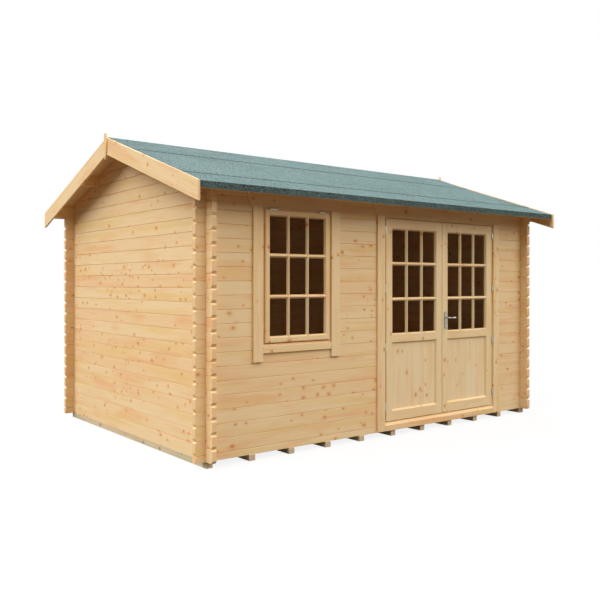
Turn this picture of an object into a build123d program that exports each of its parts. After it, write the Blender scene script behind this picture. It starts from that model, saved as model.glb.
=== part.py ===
from build123d import *
from math import cos, floor, radians, tan
import os

# Log cabin: interlocking logs on treated bearers, a felted pitched roof with its ridge along the
# front, one framed window and a pair of glazed doors.
#
# Frame: the origin is at the centre of the footprint on the underside of the bearers. +X runs along
# the front to the right as seen from outside, the front faces -Y, and +Z is up. Millimetres.

# ---- Walls: sizes ----------------------------------------------------------------------------
house_length = 4116.0        # outer face to outer face of the two side walls
house_depth = 2838.0         # outer face to outer face of the front and back walls
log_height = 114.0           # one course
log_thickness = 44.0
log_projection = 95.0        # how far a log runs past the wall that it crosses
end_bevel = 16.0             # depth of the bevels on a log's end, and height of the upper one
end_undercut = 21.0          # height of the lower bevel
weather_bevel = 5.0          # bevel along a log's upper outer edge, which marks each course
joint_gap = 0.4              # left between neighbouring timbers
plate_height = 123.0         # outer face of the wall plate, whose top is planed to the pitch
head_cover = 25.0            # least height of log kept over an opening

# ---- Base: sizes -----------------------------------------------------------------------------
bearer_width = 60.0
bearer_height = 50.0
bearer_count = 11
bearer_overrun = 8.0         # bearer ends past the front and back walls
floor_thickness = 19.0
floor_margin = 6.0           # expansion gap round the floor

# ---- Roof: sizes -----------------------------------------------------------------------------
pitch = 18.8                 # degrees
eave_overhang = 259.0        # wall face to the plumb end of the barge boards
gable_overhang = 218.0       # side wall face to the outer face of the barge boards
deck_thickness = 19.0
purlin_width = 44.0
purlin_height = 110.0        # at its higher edge
purlin_offset = 694.0        # ridge line to the middle of a side purlin
felt_thickness = 3.0
felt_gap = 0.3               # felt to what it lies on
ridge_felt_reach = 505.0     # ridge to the lower edge of the ridge strip, along the slope
felt_exposure = 930.0        # height of the middle strip that shows, along the slope
felt_lap = 70.0
felt_step = 8.0              # length over which a strip climbs onto the one under it
ridge_lift = 12.0            # height of the doubled felt along the ridge
eave_strip_depth = 20.0
eave_strip_height = 30.0
barge_thickness = 20.0
barge_width = 148.0
barge_rise = 10.0            # top edge of the barge board above the deck, measured plumb
barge_reach = 15.0           # ends of the barge boards past the felt's fold
finial_thickness = 14.0
finial_above = 37.0          # above the barge boards' top corner
finial_length = 241.0
finial_top_width = 24.0
finial_shoulder_width = 66.0
finial_shoulder_drop = 88.0  # tip to the widest point
finial_foot_width = 14.0

# ---- Frames, boards and leaves: sizes ----------------------------------------------------------
jamb_thickness = 45.0
frame_depth = 64.0
frame_head_height = 36.0
stop_projection = 12.0
trim_width = 98.0
trim_thickness = 20.0
trim_margin = 18.0           # width of jamb left showing inside the trims
head_board_height = 145.0
head_board_overrun = 10.0    # past the trims, at the lower edge
head_board_flare = 0.46      # run of the slanted ends for each unit of height
moulding_depth = 18.0        # face of a leaf to the back of its moulded edge
moulding_width = 13.0
panel_moulding_width = 16.0
bar_width = 35.0             # glazing bar, across its moulded edges
rebate_width = 9.0
glass_thickness = 4.0
seat_gap = 0.3               # glass, panel or sash to the rebate that it sits against
rebate_clearance = 1.0       # round the edge of the glass or panel

# ---- Window: sizes -----------------------------------------------------------------------------
window_x = -1150.0
window_sill_least = 40.0     # least height of the frame's sill, which sits on a whole course
sash_width = 700.0
sash_height = 1119.0
sash_thickness = 40.0
sash_proud = 20.0            # sash face in front of the wall face
sash_bevel = 8.0             # round the sash's outer edge
sash_side_gap = 3.0
sash_foot_gap = 6.0
sash_member = 57.0           # width of the sash's stiles and rails
window_trim_drop = 101.0     # trims below the window's opening
sill_board_lap = 31.0        # over the log under the frame's sill
sill_board_top_drop = 16.0   # below the top of the sill
hinge_spread = 265.0         # middle of the window to the middle of a hinge
window_hinge_length = 72.0
window_hinge_radius = 5.5

# ---- Doors: sizes ------------------------------------------------------------------------------
doors_x = 699.0
leaf_width = 786.0
leaf_height = 1928.0
leaf_thickness = 42.0
leaf_proud = 6.0             # leaf face in front of the wall face
leaf_side_gap = 6.0
leaf_meeting_gap = 8.0
leaf_foot_gap = 7.0
leaf_head_gap = 7.0
leaf_stop_gap = 5.0
door_sill_height = 28.0
stile_width = 94.0
bottom_rail = 108.0
middle_rail = 101.0
top_rail = 104.0
panel_opening_height = 625.0
panel_thickness = 15.0
threshold_foot = 5.0         # above the underside of the walls
threshold_front_height = 51.0
threshold_back_height = 75.0
threshold_thickness = 22.0

# ---- Door hinges: sizes ------------------------------------------------------------------------
hinges_per_leaf = 4
hinge_foot_margin = 145.0    # foot of the leaf to the lowest hinge
hinge_head_margin = 109.0    # top of the leaf to the highest hinge
barrel_radius = 7.0
barrel_length = 34.0         # each half
barrel_gap = 0.3             # between the two halves
pin_radius = 4.0
pin_clearance = 0.05
pin_length = 28.0
hinge_inset = 11.0           # edge of the leaf to the hinge's axis
hinge_proud = 4.0            # axis in front of the leaf's face
stem_side = 5.0              # square stem that holds each half in the timber
stem_clearance = 0.2
jamb_stem_length = 38.0
leaf_stem_length = 44.0

# ---- Door handle: sizes ------------------------------------------------------------------------
handle_height = 964.0        # spindle above the foot of the leaf
plate_width = 38.0
plate_length = 172.0
plate_thickness = 8.0
plate_corner = 9.0
plate_drop = 26.0            # middle of the plate below the spindle
neck_radius = 8.0
neck_clearance = 0.05
neck_length = 34.0           # plate to lever
spindle_side = 8.0
spindle_bore_radius = 7.0
lever_length = 108.0
lever_height = 18.0
lever_thickness = 12.0
keyhole_radius = 4.5
keyhole_drop = 62.0          # below the spindle

# ---- Levels and faces that follow from the sizes -------------------------------------------------
wall_foot = bearer_height
half_length = house_length / 2
half_depth = house_depth / 2
front_face = -half_depth
slope = tan(radians(pitch))
plumb = 1 / cos(radians(pitch))

door_sill_foot = wall_foot + log_height / 2
leaf_foot = door_sill_foot + door_sill_height + leaf_foot_gap
leaf_top = leaf_foot + leaf_height
head_foot = leaf_top + leaf_head_gap
head_top = head_foot + frame_head_height
doors_clear = leaf_width + leaf_meeting_gap / 2 + leaf_side_gap
doors_half = doors_clear + jamb_thickness
leaf_face = front_face - leaf_proud
leaf_back = leaf_face + leaf_thickness
hinge_y = leaf_face - hinge_proud
hinge_x = leaf_width + leaf_meeting_gap / 2 + hinge_inset

sash_foot = head_foot - sash_side_gap - sash_height
window_sill_top = sash_foot - sash_foot_gap
window_clear = sash_width / 2 + sash_side_gap
window_half = window_clear + jamb_thickness
sash_face = front_face - sash_proud


def courses_below(level):
    """How many whole courses, above the half log, end at or below a level."""
    return floor((level - wall_foot) / log_height - 0.5)


courses_under_window = courses_below(window_sill_top - window_sill_least)
courses_cut_by_doors = courses_below(head_top)
full_courses = 1 + courses_below(head_top + head_cover)
window_opening_foot = wall_foot + (courses_under_window + 0.5) * log_height
plate_foot = wall_foot + (full_courses + 0.5) * log_height
eave_underside = plate_foot + plate_height
ridge_underside = eave_underside + slope * half_depth
deck_plumb = deck_thickness * plumb
felt_plumb = felt_thickness * plumb
eave_y = half_depth + eave_overhang
deck_end_y = eave_y - barge_reach - felt_thickness - felt_gap
roof_end_x = half_length + gable_overhang - barge_thickness
timber_end_x = roof_end_x - joint_gap


# ---- Plain forms -------------------------------------------------------------------------------
def block(x_lo, x_hi, y_lo, y_hi, z_lo, z_hi):
    """A box given by its six faces."""
    size = (x_hi - x_lo, y_hi - y_lo, z_hi - z_lo)
    return Pos((x_lo + x_hi) / 2, (y_lo + y_hi) / 2, (z_lo + z_hi) / 2) * Box(*size)


def prism(points, along, start, end):
    """A polygon carried in a straight line: (y, z) points along X, (x, z) along Y or (x, y) along Z."""
    place = {
        "x": lambda a, b: (start, a, b),
        "y": lambda a, b: (a, start, b),
        "z": lambda a, b: (a, b, start),
    }[along]
    direction = {"x": (1, 0, 0), "y": (0, 1, 0), "z": (0, 0, 1)}[along]
    outline = Polyline(*[place(a, b) for a, b in points], close=True)
    return extrude(make_face(outline), amount=end - start, dir=direction)


def rod(radius, start, direction, length):
    """A round bar from a point along a direction."""
    return Plane(origin=start, z_dir=direction) * Cylinder(
        radius, length, align=(Align.CENTER, Align.CENTER, Align.MIN)
    )


def solids_of(*shapes):
    """The separate solids of several shapes."""
    return [solid for shape in shapes for solid in shape.solids()]


# ---- Logs --------------------------------------------------------------------------------------
corner_notch = log_height / 4


def log_outline(lo, hi, foot, top, foot_notches, top_notches, bevel_lo, bevel_hi):
    """Side view of a log as (run, height) points. A notch is (lo, hi, depth)."""
    lo_bevel = end_bevel if bevel_lo else 0
    hi_bevel = end_bevel if bevel_hi else 0
    points = [(lo + lo_bevel, foot)]
    for a, b, depth in sorted(foot_notches):
        points += [(a, foot), (a, foot + depth), (b, foot + depth), (b, foot)]
    points.append((hi - hi_bevel, foot))
    if bevel_hi:
        points += [(hi, foot + end_undercut), (hi, top - end_bevel)]
    points.append((hi - hi_bevel, top))
    for a, b, depth in sorted(top_notches, reverse=True):
        points += [(b, top), (b, top - depth), (a, top - depth), (a, top)]
    points.append((lo + lo_bevel, top))
    if bevel_lo:
        points += [(lo, top - end_bevel), (lo, foot + end_undercut)]
    return points


def wall_log(run, outer, inward, lo, hi, foot, top, foot_notches=(), top_notches=(), bevels=(True, True)):
    """One log. run is the axis it lies along, outer its outer face, inward +1 or -1 towards the room.

    The side view is carried through the wall's thickness, and then planed to the log's section,
    whose upper outer edge is bevelled.
    """
    foot = foot + joint_gap / 2
    top = top - joint_gap / 2
    across = "y" if run == "x" else "x"
    inner = outer + inward * log_thickness
    side_view = log_outline(lo, hi, foot, top, foot_notches, top_notches, *bevels)
    body = prism(side_view, across, min(outer, inner), max(outer, inner))
    section = [
        (inner, foot), (outer, foot), (outer, top - weather_bevel),
        (outer + inward * weather_bevel, top), (inner, top),
    ]
    return body & prism(section, run, lo - 1, hi + 1)


def crossings(half_run):
    """Where a log crosses the two walls at its ends, with the notch's clearance."""
    near = half_run - log_thickness - joint_gap / 2
    far = half_run + joint_gap / 2
    return [(-far, -near, corner_notch), (near, far, corner_notch)]


def course_levels(course):
    """Foot and top of a course of the front or back wall. Course 0 is the half log."""
    foot = wall_foot + max(course - 0.5, 0) * log_height
    return foot, wall_foot + (course + 0.5) * log_height


def under_roof():
    """Everything under the roof boards, less the joint gap."""
    reach = half_depth + 2 * eave_overhang
    top = ridge_underside - joint_gap
    outline = [
        (-reach, 0), (reach, 0), (reach, top - slope * reach), (0, top), (-reach, top - slope * reach),
    ]
    return prism(outline, "x", -roof_end_x, roof_end_x)


room_under_roof = under_roof()


def long_log(course, outer, inward, lo=None, hi=None, extra_foot_notches=()):
    """A log of the front or back wall. lo or hi, where given, is an end cut off at an opening."""
    foot, top = course_levels(course)
    left = -(half_length + log_projection) if lo is None else lo
    right = half_length + log_projection if hi is None else hi
    corners = [c for c in crossings(half_length) if left < c[0] and c[1] < right]
    foot_notches = ([] if course == 0 else corners) + list(extra_foot_notches)
    bevels = (lo is None, hi is None)
    if course == 0:
        return wall_log("x", outer, inward, left, right, foot, top, (), corners, (False, False))
    return wall_log("x", outer, inward, left, right, foot, top, foot_notches, corners, bevels)


def wall_plate(outer, inward):
    """Top log of the front or back wall: it runs on to the barge boards and is planed to the pitch."""
    tall = plate_height + log_height
    notch = tall - joint_gap - 3 * log_height / 4
    top_corners = [(a, b, notch) for a, b, _ in crossings(half_length)]
    plate = wall_log(
        "x", outer, inward, -timber_end_x, timber_end_x, plate_foot, plate_foot + tall,
        crossings(half_length), top_corners, (False, False),
    )
    return plate & room_under_roof


def side_log(course, outer, inward):
    """A whole log of a side wall."""
    foot = wall_foot + course * log_height
    reach = half_depth + log_projection
    corners = crossings(half_depth)
    return wall_log("y", outer, inward, -reach, reach, foot, foot + log_height, corners, corners)


def purlins(clearance=0.0):
    """The ridge purlin and one purlin half way down each slope, planed to the pitch."""
    half = purlin_width / 2 + clearance
    reach = timber_end_x + clearance
    shapes = []
    for middle in (-purlin_offset, 0, purlin_offset):
        high_edge = max(abs(middle) - purlin_width / 2, 0)
        foot = ridge_underside - slope * high_edge - purlin_height - clearance
        box = block(-reach, reach, middle - half, middle + half, foot, ridge_underside)
        shapes.append(box if clearance else box & room_under_roof)
    return shapes


gable_courses = 1 + int((ridge_underside - wall_foot) / log_height) - (full_courses + 1)


def gable_logs(outer, inward):
    """The courses above a side wall, cut to the roof's slopes and notched for the purlins."""
    logs = []
    for step in range(gable_courses):
        foot = wall_foot + (full_courses + 1 + step) * log_height
        foot_notches = crossings(half_depth) if step == 0 else ()
        reach = half_depth if step == 0 else half_depth - log_thickness
        if step == 0:
            foot_notches = [
                (max(a, -reach), min(b, reach), depth) for a, b, depth in foot_notches
            ]
            raw = gable_foot_log(outer, inward, foot, foot_notches[0][2])
        else:
            raw = wall_log(
                "y", outer, inward, -reach, reach, foot, foot + log_height, (), (), (False, False),
            )
        cut = raw & room_under_roof
        for purlin in purlins(joint_gap / 2):
            cut = cut - purlin
        logs += solids_of(cut)
    return logs


def gable_foot_log(outer, inward, foot, notch):
    """Lowest log of a gable: its ends sit on the wall plates and stop flush with their faces."""
    inner_reach = half_depth - log_thickness - joint_gap / 2
    middle = wall_log(
        "y", outer, inward, -inner_reach, inner_reach, foot, foot + log_height, (), (), (False, False),
    )
    inner = outer + inward * log_thickness
    ends = [
        block(
            min(outer, inner), max(outer, inner), min(a, b), max(a, b),
            foot + notch + joint_gap / 2, foot + log_height - joint_gap / 2,
        )
        for a, b in ((-half_depth, -inner_reach + 1), (inner_reach - 1, half_depth))
    ]
    return middle + ends[0] + ends[1]


# ---- Walls -------------------------------------------------------------------------------------
back_face = half_depth
door_left = doors_x - doors_half - joint_gap
door_right = doors_x + doors_half + joint_gap
window_left = window_x - window_half - joint_gap
window_right = window_x + window_half + joint_gap


def head_log(course):
    """A front log over the openings, notched where the heads of the frames reach up into it."""
    rise = head_top - course_levels(course)[0]
    openings = ((window_left, window_right), (door_left, door_right)) if rise > joint_gap else ()
    return long_log(course, front_face, 1, extra_foot_notches=[(lo, hi, rise) for lo, hi in openings])


front_foot_log = [long_log(0, front_face, 1)]
front_wall_under_window = [
    long_log(course, front_face, 1, hi=door_left) for course in range(1, courses_under_window + 1)
]
beside_window = range(courses_under_window + 1, courses_cut_by_doors + 1)
front_wall_left = [long_log(course, front_face, 1, hi=window_left) for course in beside_window]
front_wall_pier = [
    long_log(course, front_face, 1, lo=window_right, hi=door_left) for course in beside_window
]
front_wall_right = [
    long_log(course, front_face, 1, lo=door_right) for course in range(1, courses_cut_by_doors + 1)
]
front_wall_top = [head_log(course) for course in range(courses_cut_by_doors + 1, full_courses + 1)]
front_wall_top.append(wall_plate(front_face, 1))
back_wall = [long_log(course, back_face, -1) for course in range(full_courses + 1)]
back_wall.append(wall_plate(back_face, -1))
left_wall = [side_log(course, -half_length, 1) for course in range(full_courses + 1)]
right_wall = [side_log(course, half_length, -1) for course in range(full_courses + 1)]
left_gable = gable_logs(-half_length, 1)
right_gable = gable_logs(half_length, -1)


# ---- Base --------------------------------------------------------------------------------------
def bearers():
    """Bearers from front to back, the outer two flush with the side walls."""
    reach = half_depth + bearer_overrun
    spacing = (house_length - bearer_width) / (bearer_count - 1)
    lefts = [-half_length + index * spacing for index in range(bearer_count)]
    return [block(x, x + bearer_width, -reach, reach, 0, bearer_height) for x in lefts]


def floor():
    """Floor laid on the bearers inside the walls, cut back round the door frame."""
    x = half_length - log_thickness - floor_margin
    y = half_depth - log_thickness - floor_margin
    foot = wall_foot + joint_gap
    return [block(-x, x, -y, y, foot, foot + floor_thickness)]


# ---- Roof --------------------------------------------------------------------------------------
def deck_top(y):
    """Height of the roof boards' upper face."""
    return ridge_underside + deck_plumb - slope * abs(y)


def roof_boards(side):
    """The boards of one slope: side is -1 at the front and +1 at the back."""
    near = side * joint_gap / 2
    far = side * deck_end_y
    outline = [
        (near, deck_top(near) - deck_plumb), (far, deck_top(far) - deck_plumb),
        (far, deck_top(far)), (near, deck_top(near)),
    ]
    return prism(outline, "x", -timber_end_x, timber_end_x)


def eave_strip(side):
    """Strip under the lower edge of the roof boards, behind the felt's fold."""
    outer = side * deck_end_y
    inner = side * (deck_end_y - eave_strip_depth)
    outer_top = deck_top(outer) - deck_plumb - joint_gap
    inner_top = deck_top(inner) - deck_plumb - joint_gap
    foot = outer_top - eave_strip_height
    return prism([(outer, foot), (outer, outer_top), (inner, inner_top), (inner, foot)],
                 "x", -timber_end_x, timber_end_x)


def on_slope(distance, lift):
    """Point of the front slope's section at a distance from the ridge and a height above the boards."""
    y = distance * cos(radians(pitch))
    return y, deck_top(y) + lift


low_lift = felt_gap
high_lift = felt_gap + felt_plumb + felt_gap
first_lap = ridge_felt_reach
second_lap = ridge_felt_reach + felt_exposure


def lapped_edge(lap, lift):
    """Section points of one face of a strip near its lower edge, where it climbs onto the next strip."""
    climb = lap - felt_lap
    return [
        on_slope(climb - felt_step, low_lift + lift), on_slope(climb, high_lift + lift),
        on_slope(lap, high_lift + lift),
    ]


def mirrored(points, side):
    """Section points of the front slope (side -1) or the back slope (side +1)."""
    return [(side * y, z) for y, z in points]


def middle_felt(side):
    """Strip between the ridge strip and the eave strip."""
    start = first_lap - felt_lap + felt_gap
    lower = [on_slope(start, low_lift)] + lapped_edge(second_lap, 0)
    upper = [on_slope(start, low_lift + felt_plumb)] + lapped_edge(second_lap, felt_plumb)
    return prism(mirrored(lower + upper[::-1], side), "x", -timber_end_x, timber_end_x)


def eave_felt(side):
    """Lowest strip, folded down over the ends of the boards."""
    start = second_lap - felt_lap + felt_gap
    fold_y = deck_end_y + felt_gap
    face_y = fold_y + felt_thickness
    foot = deck_top(deck_end_y) - deck_plumb - joint_gap - eave_strip_height
    outline = [
        on_slope(start, low_lift), (fold_y, deck_top(fold_y) + low_lift), (fold_y, foot),
        (face_y, foot), (face_y, deck_top(face_y) + low_lift + felt_plumb),
        on_slope(start, low_lift + felt_plumb),
    ]
    return prism(mirrored(outline, side), "x", -timber_end_x, timber_end_x)


def ridge_felt():
    """Strip folded over the ridge."""
    lower = lapped_edge(first_lap, 0)
    upper = lapped_edge(first_lap, felt_plumb)
    apex = deck_top(0) + low_lift
    outline = mirrored(lower[::-1], -1) + [(0, apex)] + lower
    outline += upper[::-1] + [(0, apex + felt_plumb + ridge_lift)] + mirrored(upper, -1)
    return prism(outline, "x", -timber_end_x, timber_end_x)


def barge_boards(side):
    """The two barge boards of one gable, meeting at a plumb joint: side is -1 left, +1 right."""
    boards = []
    depth = barge_width * plumb
    for slope_side in (-1, 1):
        near = slope_side * joint_gap / 2
        far = slope_side * eave_y
        outline = [
            (near, deck_top(near) + barge_rise), (far, deck_top(far) + barge_rise),
            (far, deck_top(far) + barge_rise - depth), (near, deck_top(near) + barge_rise - depth),
        ]
        ends = sorted((side * roof_end_x, side * (roof_end_x + barge_thickness)))
        boards.append(prism(outline, "x", *ends))
    return boards


def finial(side):
    """Board that covers the joint of the barge boards: widest near the top, tapered to the foot."""
    tip = deck_top(0) + barge_rise + finial_above
    shoulder = tip - finial_shoulder_drop
    foot = tip - finial_length
    right_half = [
        (finial_top_width / 2, tip), (finial_shoulder_width / 2, shoulder), (finial_foot_width / 2, foot),
    ]
    outline = right_half + mirrored(right_half[::-1], -1)
    near = roof_end_x + barge_thickness + joint_gap / 2
    return prism(outline, "x", *sorted((side * near, side * (near + finial_thickness))))


# ---- Frames in the openings ----------------------------------------------------------------------
def opening_frame(middle, clear, sill_foot, sill_top, head, stop_face):
    """Sill, two jambs and head of a frame, each with the stop that the leaf or sash closes on."""
    back = front_face + frame_depth
    outer = clear + jamb_thickness
    top = head + frame_head_height
    sill = block(middle - outer, middle + outer, front_face, back, sill_foot + joint_gap, sill_top)
    parts = [sill]
    for side in (-1, 1):
        section = [
            (side * outer, front_face), (side * clear, front_face), (side * clear, stop_face),
            (side * (clear - stop_projection), stop_face), (side * (clear - stop_projection), back),
            (side * outer, back),
        ]
        shifted = [(middle + x, y) for x, y in section]
        parts.append(prism(shifted, "z", sill_top + joint_gap, top - joint_gap))
    fit = clear - joint_gap
    stop_fit = fit - stop_projection
    lintel = block(middle - fit, middle + fit, front_face, stop_face, head, top - joint_gap)
    stop = block(
        middle - stop_fit, middle + stop_fit, stop_face, back, head - stop_projection, top - joint_gap
    )
    parts.append(lintel + stop)
    return parts


def face_trims(middle, clear, foot, top):
    """The two upright boards that cover the joints between a frame and the logs."""
    inner = clear + trim_margin
    outer = inner + trim_width
    near = front_face - joint_gap / 2
    far = near - trim_thickness
    return [
        block(middle + min(a, b), middle + max(a, b), far, near, foot, top)
        for a, b in ((-outer, -inner), (inner, outer))
    ]


def head_board(middle, clear, foot):
    """Board over an opening, with slanted ends that flare upwards."""
    low = clear + trim_margin + trim_width + head_board_overrun
    high = low + head_board_flare * head_board_height
    outline = [
        (middle - low, foot), (middle + low, foot),
        (middle + high, foot + head_board_height), (middle - high, foot + head_board_height),
    ]
    near = front_face - joint_gap / 2
    return prism(outline, "y", near - trim_thickness, near)


# ---- Glazed leaves -------------------------------------------------------------------------------
def rectangle(x_lo, x_hi, z_lo, z_hi, y, grow):
    """Upright face across Y, larger all round by an amount."""
    corners = [(x_lo - grow, z_lo - grow), (x_hi + grow, z_lo - grow),
               (x_hi + grow, z_hi + grow), (x_lo - grow, z_hi + grow)]
    return make_face(Polyline(*[(x, y, z) for x, z in corners], close=True))


def moulded_hole(x_lo, x_hi, z_lo, z_hi, face, wide):
    """Opening whose edge slopes inwards from the leaf's face to the back of the moulding."""
    ends = (face, wide), (face + moulding_depth, 0)
    return loft([rectangle(x_lo, x_hi, z_lo, z_hi, y, grow) for y, grow in ends])


def bevelled_block(x_lo, x_hi, z_lo, z_hi, face, back, bevel):
    """Block whose front edges are bevelled."""
    ends = (face, -bevel), (face + bevel, 0)
    front = loft([rectangle(x_lo, x_hi, z_lo, z_hi, y, grow) for y, grow in ends])
    return front + block(x_lo, x_hi, face + bevel, back, z_lo, z_hi)


def panes(x_lo, x_hi, z_lo, z_hi, columns=3, rows=3):
    """The openings between the glazing bars."""
    width = (x_hi - x_lo - (columns - 1) * bar_width) / columns
    height = (z_hi - z_lo - (rows - 1) * bar_width) / rows
    return [
        (x_lo + c * (width + bar_width), x_lo + c * (width + bar_width) + width,
         z_lo + r * (height + bar_width), z_lo + r * (height + bar_width) + height)
        for c in range(columns)
        for r in range(rows)
    ]


def framed_leaf(leaf, face, back, fields):
    """A leaf of stiles, rails and bars, cut from its block. A field is (outline, its openings,
    width of their moulding): the outline's back is rebated for one sheet of glass or one panel."""
    for (a, b, c, d), lights, wide in fields:
        leaf -= block(
            a - rebate_width, b + rebate_width, face + moulding_depth, back + 1,
            c - rebate_width, d + rebate_width,
        )
        for light in lights:
            leaf -= moulded_hole(*light, face, wide)
    return leaf


def infill(outline, face, thickness):
    """Sheet of glass or panel in its rebate."""
    a, b, c, d = outline
    fit = rebate_width - rebate_clearance
    near = face + moulding_depth + seat_gap
    return block(a - fit, b + fit, near, near + thickness, c - fit, d + fit)


# ---- Window --------------------------------------------------------------------------------------
sash_field = (
    window_x - sash_width / 2 + sash_member, window_x + sash_width / 2 - sash_member,
    sash_foot + sash_member, sash_foot + sash_height - sash_member,
)
window_stop = sash_face + sash_thickness + seat_gap


def window_sash():
    """Top-hung sash with its glazing bars, bevelled round its outer edge."""
    back = sash_face + sash_thickness
    body = bevelled_block(
        window_x - sash_width / 2, window_x + sash_width / 2, sash_foot, sash_foot + sash_height,
        sash_face, back, sash_bevel,
    )
    return framed_leaf(body, sash_face, back, [(sash_field, panes(*sash_field), moulding_width)])


def window_hinges():
    """Two butt hinges in the gap over the sash, with their knuckles in front of its bevel."""
    gap_foot = sash_foot + sash_height + seat_gap
    gap_top = head_foot - seat_gap
    knuckle_y = sash_face + 0.5
    hinges = []
    for side in (-1, 1):
        start = window_x + side * hinge_spread - window_hinge_length / 2
        knuckle = rod(
            window_hinge_radius, (start, knuckle_y, (gap_foot + gap_top) / 2), (1, 0, 0),
            window_hinge_length,
        )
        flap = block(
            start, start + window_hinge_length, knuckle_y, sash_face + sash_thickness / 2, gap_foot, gap_top
        )
        hinges.append(knuckle + flap)
    return hinges


def window_sill_board():
    """Board between the trims, under the sash."""
    reach = window_clear + trim_margin - joint_gap
    near = front_face - joint_gap / 2
    foot = window_opening_foot - sill_board_lap
    top = window_sill_top - sill_board_top_drop
    return block(window_x - reach, window_x + reach, near - trim_thickness, near, foot, top)


# ---- Doors ---------------------------------------------------------------------------------------
def leaf_span(side):
    """Left and right edges of a leaf: side is -1 for the left leaf and +1 for the right leaf."""
    edges = (doors_x + side * leaf_meeting_gap / 2, doors_x + side * (leaf_meeting_gap / 2 + leaf_width))
    return min(edges), max(edges)


def leaf_fields(side):
    """Outlines of a leaf's panel and of its glass."""
    lo, hi = leaf_span(side)
    left = lo + stile_width
    right = hi - stile_width
    panel_foot = leaf_foot + bottom_rail
    panel_top = panel_foot + panel_opening_height
    panel = (left, right, panel_foot, panel_top)
    glass = (left, right, panel_top + middle_rail, leaf_top - top_rail)
    return panel, glass


def hinge_levels():
    """Height of the joint between the two halves of each hinge."""
    spacing = (leaf_height - hinge_foot_margin - hinge_head_margin) / (hinges_per_leaf - 1)
    return [leaf_foot + hinge_foot_margin + index * spacing for index in range(hinges_per_leaf)]


def stem(side, level, direction, length, clearance):
    """Square stem from a hinge's axis into the timber, or with a clearance the mortise for it."""
    thickness = stem_side + 2 * clearance
    start = Plane(
        origin=(doors_x + side * hinge_x, hinge_y, level), x_dir=(0, 0, 1), z_dir=direction
    )
    return start * Box(
        thickness, thickness, length + clearance, align=(Align.CENTER, Align.CENTER, Align.MIN)
    )


def jamb_stem(side, level, clearance=0.0):
    """Stem of a hinge's lower half, let straight back into the jamb."""
    return stem(side, level - barrel_length / 2, (0, 1, 0), jamb_stem_length, clearance)


def leaf_stem(side, level, clearance=0.0):
    """Stem of a hinge's upper half, let slantwise into the edge of the leaf."""
    return stem(side, level + barrel_length / 2, (-side, 1, 0), leaf_stem_length, clearance)


def hinge_pins():
    """Lower halves of all the hinges: barrel, pin and stem."""
    halves = []
    for side in (-1, 1):
        for level in hinge_levels():
            foot = (doors_x + side * hinge_x, hinge_y, level - barrel_length)
            barrel = rod(barrel_radius, foot, (0, 0, 1), barrel_length - barrel_gap / 2)
            pin = rod(pin_radius, foot, (0, 0, 1), barrel_length + pin_length)
            halves.append(barrel + pin + jamb_stem(side, level))
    return halves


def hinge_sleeves(side):
    """Upper halves of one leaf's hinges, each with a blind bore for the pin."""
    halves = []
    for level in hinge_levels():
        foot = (doors_x + side * hinge_x, hinge_y, level + barrel_gap / 2)
        barrel = rod(barrel_radius, foot, (0, 0, 1), barrel_length)
        bore = rod(pin_radius + pin_clearance, foot, (0, 0, 1), pin_length + 1)
        halves.append(barrel + leaf_stem(side, level) - bore)
    return halves


def spindle_point():
    """Middle of the lever's spindle on the face of the right leaf."""
    return doors_x + leaf_meeting_gap / 2 + stile_width / 2, leaf_face, leaf_foot + handle_height


def door_leaf(side):
    """Stiles, rails and bars of a leaf, mortised for its hinges and, on the right, bored for the spindle."""
    lo, hi = leaf_span(side)
    panel, glass = leaf_fields(side)
    fields = [(panel, [panel], panel_moulding_width), (glass, panes(*glass), moulding_width)]
    body = block(lo, hi, leaf_face, leaf_back, leaf_foot, leaf_top)
    leaf = framed_leaf(body, leaf_face, leaf_back, fields)
    for level in hinge_levels():
        leaf -= leaf_stem(side, level, stem_clearance)
    if side == 1:
        x, y, z = spindle_point()
        leaf -= rod(spindle_bore_radius, (x, y - 1, z), (0, 1, 0), leaf_thickness + 2)
    return leaf


def door_frame():
    """Frame of the doors, with its jambs mortised for the hinges' stems."""
    parts = opening_frame(
        doors_x, doors_clear, door_sill_foot, door_sill_foot + door_sill_height, head_foot,
        leaf_back + leaf_stop_gap,
    )
    for index, side in ((1, -1), (2, 1)):
        for level in hinge_levels():
            parts[index] -= jamb_stem(side, level, stem_clearance)
    return parts


def door_threshold():
    """Board under the doors, between the trims, with a weathered top."""
    reach = doors_clear + trim_margin - joint_gap
    near = front_face - joint_gap / 2
    far = near - threshold_thickness
    foot = wall_foot + threshold_foot
    section = [
        (near, foot), (near, foot + threshold_back_height), (far, foot + threshold_front_height), (far, foot),
    ]
    return prism(section, "x", doors_x - reach, doors_x + reach)


# ---- Door handle ---------------------------------------------------------------------------------
def handle_plate(face, outward):
    """Long plate with a bore for the lever's neck and a keyhole under it."""
    x, _, z = spindle_point()
    middle = Plane(origin=(x, face, z - plate_drop), x_dir=(1, 0, 0), z_dir=(0, outward, 0))
    outline = Rectangle(plate_width, plate_length)
    outline = chamfer(outline.vertices(), plate_corner)
    plate = extrude(middle * outline, plate_thickness)
    reach = plate_thickness + 2
    start = (x, face - outward, z)
    plate -= rod(neck_radius + neck_clearance, start, (0, outward, 0), reach)
    return plate - rod(keyhole_radius, (x, face - outward, z - keyhole_drop), (0, outward, 0), reach)


def lever_side(face, outward):
    """Neck and lever on one side of the leaf."""
    x, _, z = spindle_point()
    neck = rod(neck_radius, (x, face, z), (0, outward, 0), plate_thickness + neck_length)
    root = face + outward * (plate_thickness + neck_length)
    plane = Plane(origin=(x + lever_length / 2, root, z), x_dir=(1, 0, 0), z_dir=(0, outward, 0))
    span = lever_length + lever_height
    lever = extrude(plane * SlotOverall(span, lever_height), lever_thickness)
    return neck + lever


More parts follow.
